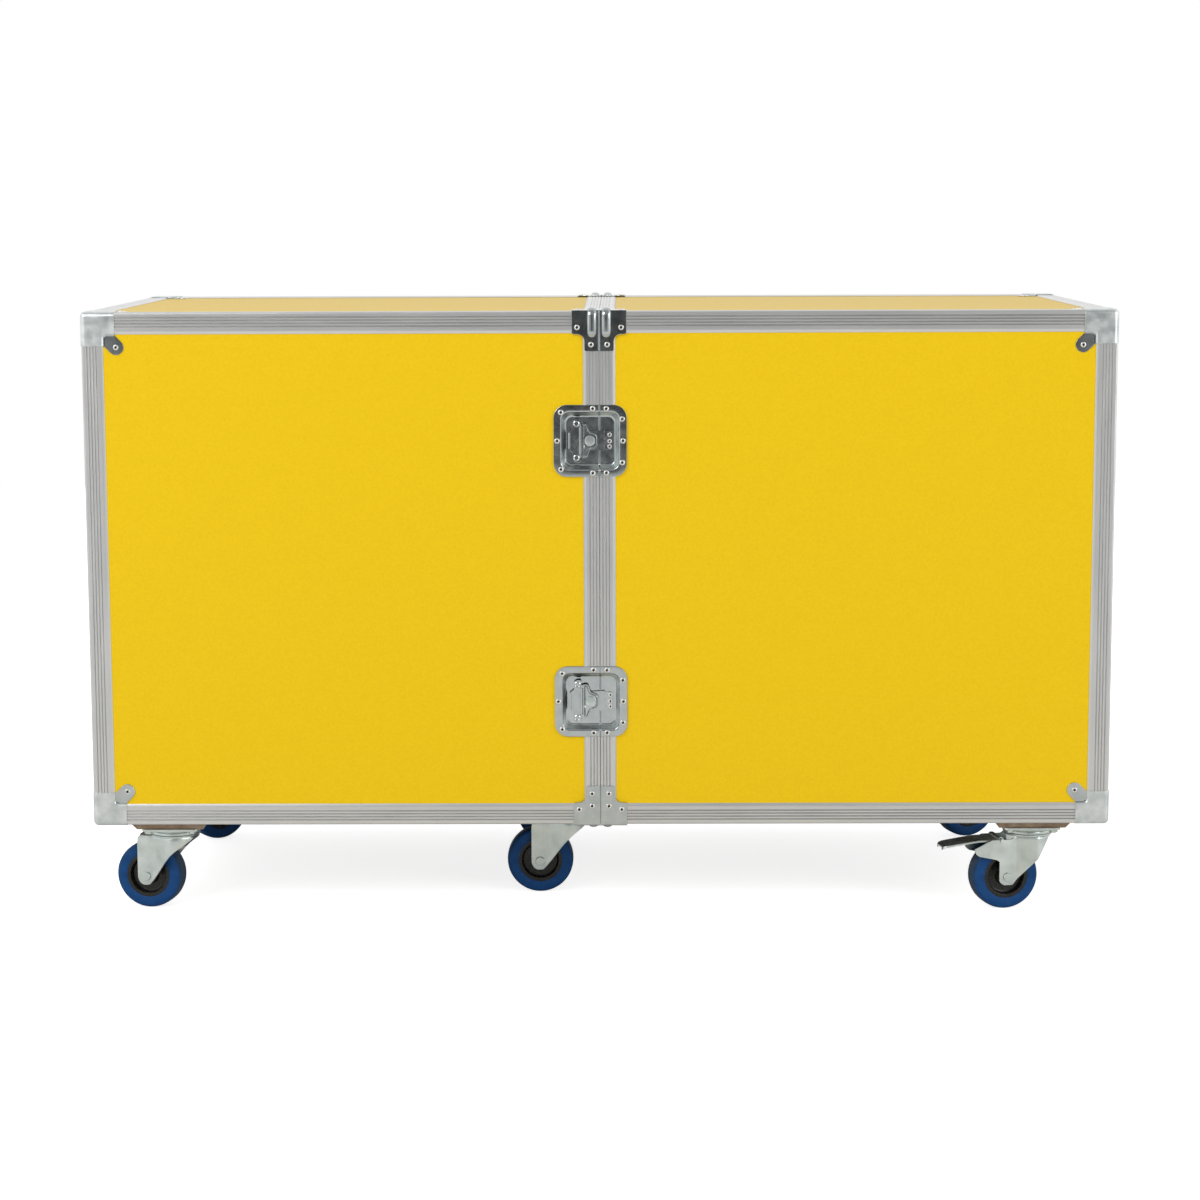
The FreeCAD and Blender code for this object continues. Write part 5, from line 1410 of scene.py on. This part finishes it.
def knuckle(bm, side, low, high):
    """Tube round the pin, and the curl from it to the leaf."""
    bore, length = HINGE_PIN + 0.05, high - low
    tube = [(bore, 0), (KNUCKLE - 0.4, 0), (KNUCKLE, 0.4), (KNUCKLE, length - 0.4), (KNUCKLE - 0.4, length)]
    turned(bm, tube + [(bore, length), (bore, 0)], Matrix.Translation((0, hinge_y, low)), 32)
    outer, inner, root = side * KNUCKLE, side * (KNUCKLE - 2), rear + 0.2
    plate(bm, [(outer, root), (inner, root), (inner, hinge_y), (outer, hinge_y)], low, high, soften=0)


def hinge_leaves(side, word):
    bm = bmesh.new()
    third = HINGE_LENGTH / 3
    for low in hinge_lows:
        spans = [(low, low + third), (low + 2 * third, low + 3 * third)]
        if side > 0:
            spans = [(low + third + 0.3, low + 2 * third - 0.3)]
        for start, end in spans:
            knuckle(bm, side, start, end)
        near, far = side * 6, side * LEAF_WIDE
        leaf = [(near, 0), (far, 0, 3), (far, HINGE_LENGTH, 3), (near, HINGE_LENGTH)]
        place = Matrix.Translation((0, rear, low)) @ upright
        plate(bm, rounded(leaf), 0, LEAF_THICK, place)
        for start, end in spans:
            first, last = start - low, end - low
            tab = [(side * 4.6, first), (side * 6.2, first), (side * 6.2, last), (side * 4.6, last)]
            plate(bm, tab, 0, LEAF_THICK, place, soften=0.2)
        for z in HINGE_SCREWS:
            add_rivet(word + "_half", (side * 14.5, rear + LEAF_THICK, low + z), (0, 1, 0), SMALL_RIVET)
    replaced = ["hinge_leaves_" + word]
    return made("hinges_" + word, bm, [satin_zinc], word + "_half", "plated_steel", replaced)


def hinge_pins():
    bm = bmesh.new()
    end = HINGE_LENGTH + 0.6
    pin = [(0, -0.6), (2.4, -0.6), (HINGE_PIN, 0), (HINGE_PIN, HINGE_LENGTH), (2.4, end), (0, end)]
    for low in hinge_lows:
        turned(bm, pin, Matrix.Translation((0, hinge_y, low)))
    return made("hinge_pins_shown", bm, [rivet_steel], "left_half", "plated_steel", ["hinge_pins"])


on_both_halves(hinge_leaves)
print(hinge_pins().name, len(hinge_lows), "pins")

# %% [markdown]
# ## End handles
# Each end has a sprung bail in a pressed dish, so that nothing stands out of the wall. The dish is made like
# the latch dishes. The bail is a steel rod bent to a U, drawn as a circle carried along its line, with a
# ribbed rubber grip turned over its middle.

# %% Handle dishes
HANDLE_HEIGHT = base + 430
FLANGE_SUNK = 0.6
EAR_INSIDE, EAR_THICK = 49.4, 5
HANDLE_RINGS = [(160, 110, 12, 2), (160, 110, 12, 1.0), (159.2, 109.2, 11.6, 0.7), (158.2, 108.2, 11, 0.6),
                (133, 87, 10, 0.6), (130.4, 84.4, 9, 0.8), (128.6, 82.6, 8.4, 1.6), (121, 75, 7, 11),
                (119.4, 73.4, 6.6, 12), (116, 70, 6, 12.4)]


def handle_frame(side):
    """Frame of a handle: X into the case, Y along the end, Z up."""
    return Matrix.Translation((side * half_length, middle_y, HANDLE_HEIGHT)) @ mirror_matrix(-side)


def handle_dish(side, word):
    bm = bmesh.new()
    rings(bm, [[(depth, y, z) for y, z in rounded_rectangle(wide, tall, corner)]
               for wide, tall, corner, depth in HANDLE_RINGS], cap_last=True)
    bmesh.ops.transform(bm, matrix=handle_frame(side), verts=bm.verts)
    face_away(bm, (0, middle_y, HANDLE_HEIGHT))
    for y in (-72, 72):
        for z in (-45, 0, 45):
            add_rivet(word + "_half", handle_frame(side) @ Vector((FLANGE_SUNK, y, z)), (side, 0, 0))
    dish = made("handle_dish_%s_shown" % word, bm, [bright_zinc], word + "_half", "plated_steel",
                ["handle_dish_" + word], solid=False)
    return thicken(dish, DISH_SHEET)


def handle_ears(side, word):
    bm = bmesh.new()
    flat = Matrix(((0, 1, 0, 0), (0, 0, 1, 0), (1, 0, 0, 0), (0, 0, 0, 1)))
    for y in (EAR_INSIDE, -EAR_INSIDE - EAR_THICK):
        ear = rounded([(18, 12.6), (32, 12.6), (32, 2, 5), (18, 2, 5)])
        plate(bm, ear, y, y + EAR_THICK, handle_frame(side) @ flat)
    return made("handle_ears_" + word, bm, [bright_zinc], word + "_half", "plated_steel")


# %% Bails
BAIL_DEPTH, BAIL_HALF, BAIL_RISE, BAIL_LOW = 7, 44, 25, -18.5
ROD = 4.3


def handle_bail(side, word):
    bm = bmesh.new()
    half_bow = [(BAIL_HALF, BAIL_LOW, 11), (BAIL_HALF, BAIL_RISE + 3)]
    bow = [(-y, z, *bend) for y, z, *bend in reversed(half_bow)] + half_bow
    carried(bm, rounded(bow, 8), ROD, BAIL_DEPTH)
    for start in (-BAIL_HALF - 10.4, BAIL_HALF - 1):
        axle = facing((BAIL_DEPTH, start, BAIL_RISE), (0, 1, 0))
        turned(bm, [(0, 0), (2.9, 0), (2.9, 11.4), (0, 11.4)], axle, 20)
    bmesh.ops.transform(bm, matrix=handle_frame(side), verts=bm.verts)
    body = "handle_bail_" + word
    return made("bail_rod_" + word, bm, [satin_zinc], body, "plated_steel", [body])


def handle_grip(side, word):
    grip = bmesh.new()
    ribs = [(4.2, 0), (4.9, 0.6)]
    for i in range(9):
        ribs += [(5.3, 1.4 + 7 * i), (5.3, 5.4 + 7 * i), (4.9, 6.2 + 7 * i), (4.9, 7.6 + 7 * i)]
    length = ribs[-1][1] + 0.8
    turned(grip, ribs + [(4.2, length), (4.2, 0)], facing((BAIL_DEPTH, -length / 2, BAIL_LOW), (0, 1, 0)), 32)
    bmesh.ops.transform(grip, matrix=handle_frame(side), verts=grip.verts)
    return made("bail_grip_" + word, grip, [grip_rubber], "handle_bail_" + word, "grip")


on_both_halves(handle_dish, handle_ears, handle_bail, handle_grip)

# %% [markdown]
# ## Rivets in their places
# Every plate has now put the spots of its rivets in the list, so they can be set. The rivets of a half are
# one piece, because no rivet moves alone and many small objects would be slow to handle.

# %% Set all rivets
for body, places in rivet_places.items():
    rivets = copied(rivet_form(), places)
    # The rivets' holes take the painted shade.
    made("rivets_" + body, rivets, [rivet_steel, dark_pit], body, "plated_steel")
    print("rivets on", body, len(places))

# %% [markdown]
# ## Flat faces that look flat
# Smooth shading spreads the slope of a soft rim over the flat beside it, and a flat plate then looks like a
# pillow. A Weighted Normal modifier lets the large faces decide, so that plates mirror as plates do.

# %% Keep the flats flat
for piece in pieces:
    piece.modifiers.new("flats", "WEIGHTED_NORMAL").keep_sharp = True
print("flats kept on", len(pieces), "pieces")

# %% [markdown]
# ## Floor and light
# The case stands on plain white. A white floor takes the shadow, and only for the camera it also glows a
# little, so that it meets the white background without an edge. The world gives even light from all round.
# Two large soft lamps, as in a photo studio, give the metal its bright bands.

# %% Floor
FLOOR_GLOW, FLOOR_HALF = 0.8, 6000


def floor_finish():
    floor, tree, shader = new_finish("studio_floor", 0, 0.6)
    shader.inputs["Specular IOR Level"].default_value = 0
    spread = grains(tree, object_place(tree), 2.0)
    coat(tree, shader, shades(tree, spread, (0.86, 0.86, 0.86), (0.9, 0.9, 0.9)))
    rays = tree.nodes.new("ShaderNodeLightPath")
    glow = worked_out(tree, "MULTIPLY", rays.outputs["Is Camera Ray"], FLOOR_GLOW)
    shader.inputs["Emission Color"].default_value = (1, 1, 1, 1)
    tree.links.new(glow, shader.inputs["Emission Strength"])
    return floor


bm = bmesh.new()
bmesh.ops.create_grid(bm, x_segments=4, y_segments=4, size=FLOOR_HALF)
floor = bpy.data.objects.new("floor", finished("floor", bm, floor_finish()))
bpy.context.scene.collection.objects.link(floor)
floor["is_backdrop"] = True
print("floor", floor.dimensions.x, "m wide")

# %% [markdown]
# A studio isn't equally bright all round. Behind the case hangs a white sweep, soft boxes stand at both
# sides, and behind the photographer the room is dark. Flat plates at eye level mirror that dark room, round
# edges mirror the boxes, and low plates mirror the white floor. The world gives diffuse light evenly, and
# shows the sweep, the boxes and the dark room only to reflections.

# %% World
WORLD_LIGHT, FRONT_ROOM, DARK_ROOM, WHITE_SWEEP = 0.62, 0.42, 0.07, 1.05
SOFT_BOX = 1.1
sky_world = bpy.data.worlds.new("studio")
bpy.context.scene.world = sky_world
sky_world.use_nodes = True
sky = sky_world.node_tree
rays = sky.nodes.new("ShaderNodeLightPath")
way = sky.nodes.new("ShaderNodeSeparateXYZ")
sky.links.new(sky.nodes.new("ShaderNodeTexCoord").outputs["Generated"], way.inputs["Vector"])


def times(first, second):
    return worked_out(sky, "MULTIPLY", first, second)


def blended(amount, first, second):
    """A value that goes from the first to the second as the amount goes from 0 to 1."""
    return worked_out(sky, "ADD", times(worked_out(sky, "SUBTRACT", second, first), amount), first)


side_way, up_way = [times(way.outputs[axis], way.outputs[axis]) for axis in "XZ"]
ahead = between(sky, way.outputs["Y"], 1.0, 0.0, -0.9, -0.6)
level_with_eye = between(sky, up_way, 1.0, 0.0, 0.012, 0.05)
near_middle = between(sky, side_way, 1.0, 0.0, 0.012, 0.045)
room = times(times(ahead, level_with_eye), near_middle)
sweep = between(sky, way.outputs["Y"], FRONT_ROOM, WHITE_SWEEP, -0.4, 0.4)
mirrored = worked_out(sky, "SUBTRACT", sweep, times(room, FRONT_ROOM - DARK_ROOM))
upper_side = between(sky, way.outputs["Z"], 0.0, SOFT_BOX, -0.25, -0.1)
boxes = times(between(sky, side_way, 0.0, 1.0, 0.25, 0.4), upper_side)
mirrored = worked_out(sky, "MAXIMUM", mirrored, boxes)
lit = blended(rays.outputs["Is Glossy Ray"], WORLD_LIGHT, mirrored)
seen = worked_out(sky, "MAXIMUM", rays.outputs["Is Camera Ray"], rays.outputs["Is Transmission Ray"])
sky.links.new(blended(seen, lit, 1.0), sky.nodes["Background"].inputs["Strength"])
sky.nodes["Background"].inputs["Color"].default_value = (1, 1, 1, 1)
print("world light", WORLD_LIGHT, "dark room", DARK_ROOM)


# %% Lamps
def soft_lamp(name, spot, size, watts):
    """Square lamp aimed at the middle of the case."""
    data = bpy.data.lights.new(name, "AREA")
    data.size = size
    data.energy = watts
    lamp = bpy.data.objects.new(name, data)
    bpy.context.scene.collection.objects.link(lamp)
    aim = (CASE_MIDDLE - Vector(spot)).to_track_quat("-Z", "Y")
    lamp.matrix_world = Matrix.Translation(spot) @ aim.to_matrix().to_4x4()
    lamp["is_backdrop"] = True
    return lamp


soft_lamp("key", (-2.6, -3.4, 3.0), 2.2, 78)
soft_lamp("fill", (3.4, -3.0, 1.8), 2.0, 42)
bpy.context.scene.view_settings.view_transform = "Standard"
print("lamps", [light.name for light in bpy.data.lights])

# %% [markdown]
# ## Size of the dressed part
# Rounded bends and rivets shouldn't change the size of the case. The box round all pieces is measured and
# compared with the box round the solids, and how far it has grown is printed.

# %% Compare the dressed size with the solids, and finish
dressed_low, dressed_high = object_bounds()
for word, growth in (("below", cad_low - dressed_low), ("above", dressed_high - cad_high)):
    print("grown", word, [round(v / MM, 1) for v in growth], "mm")
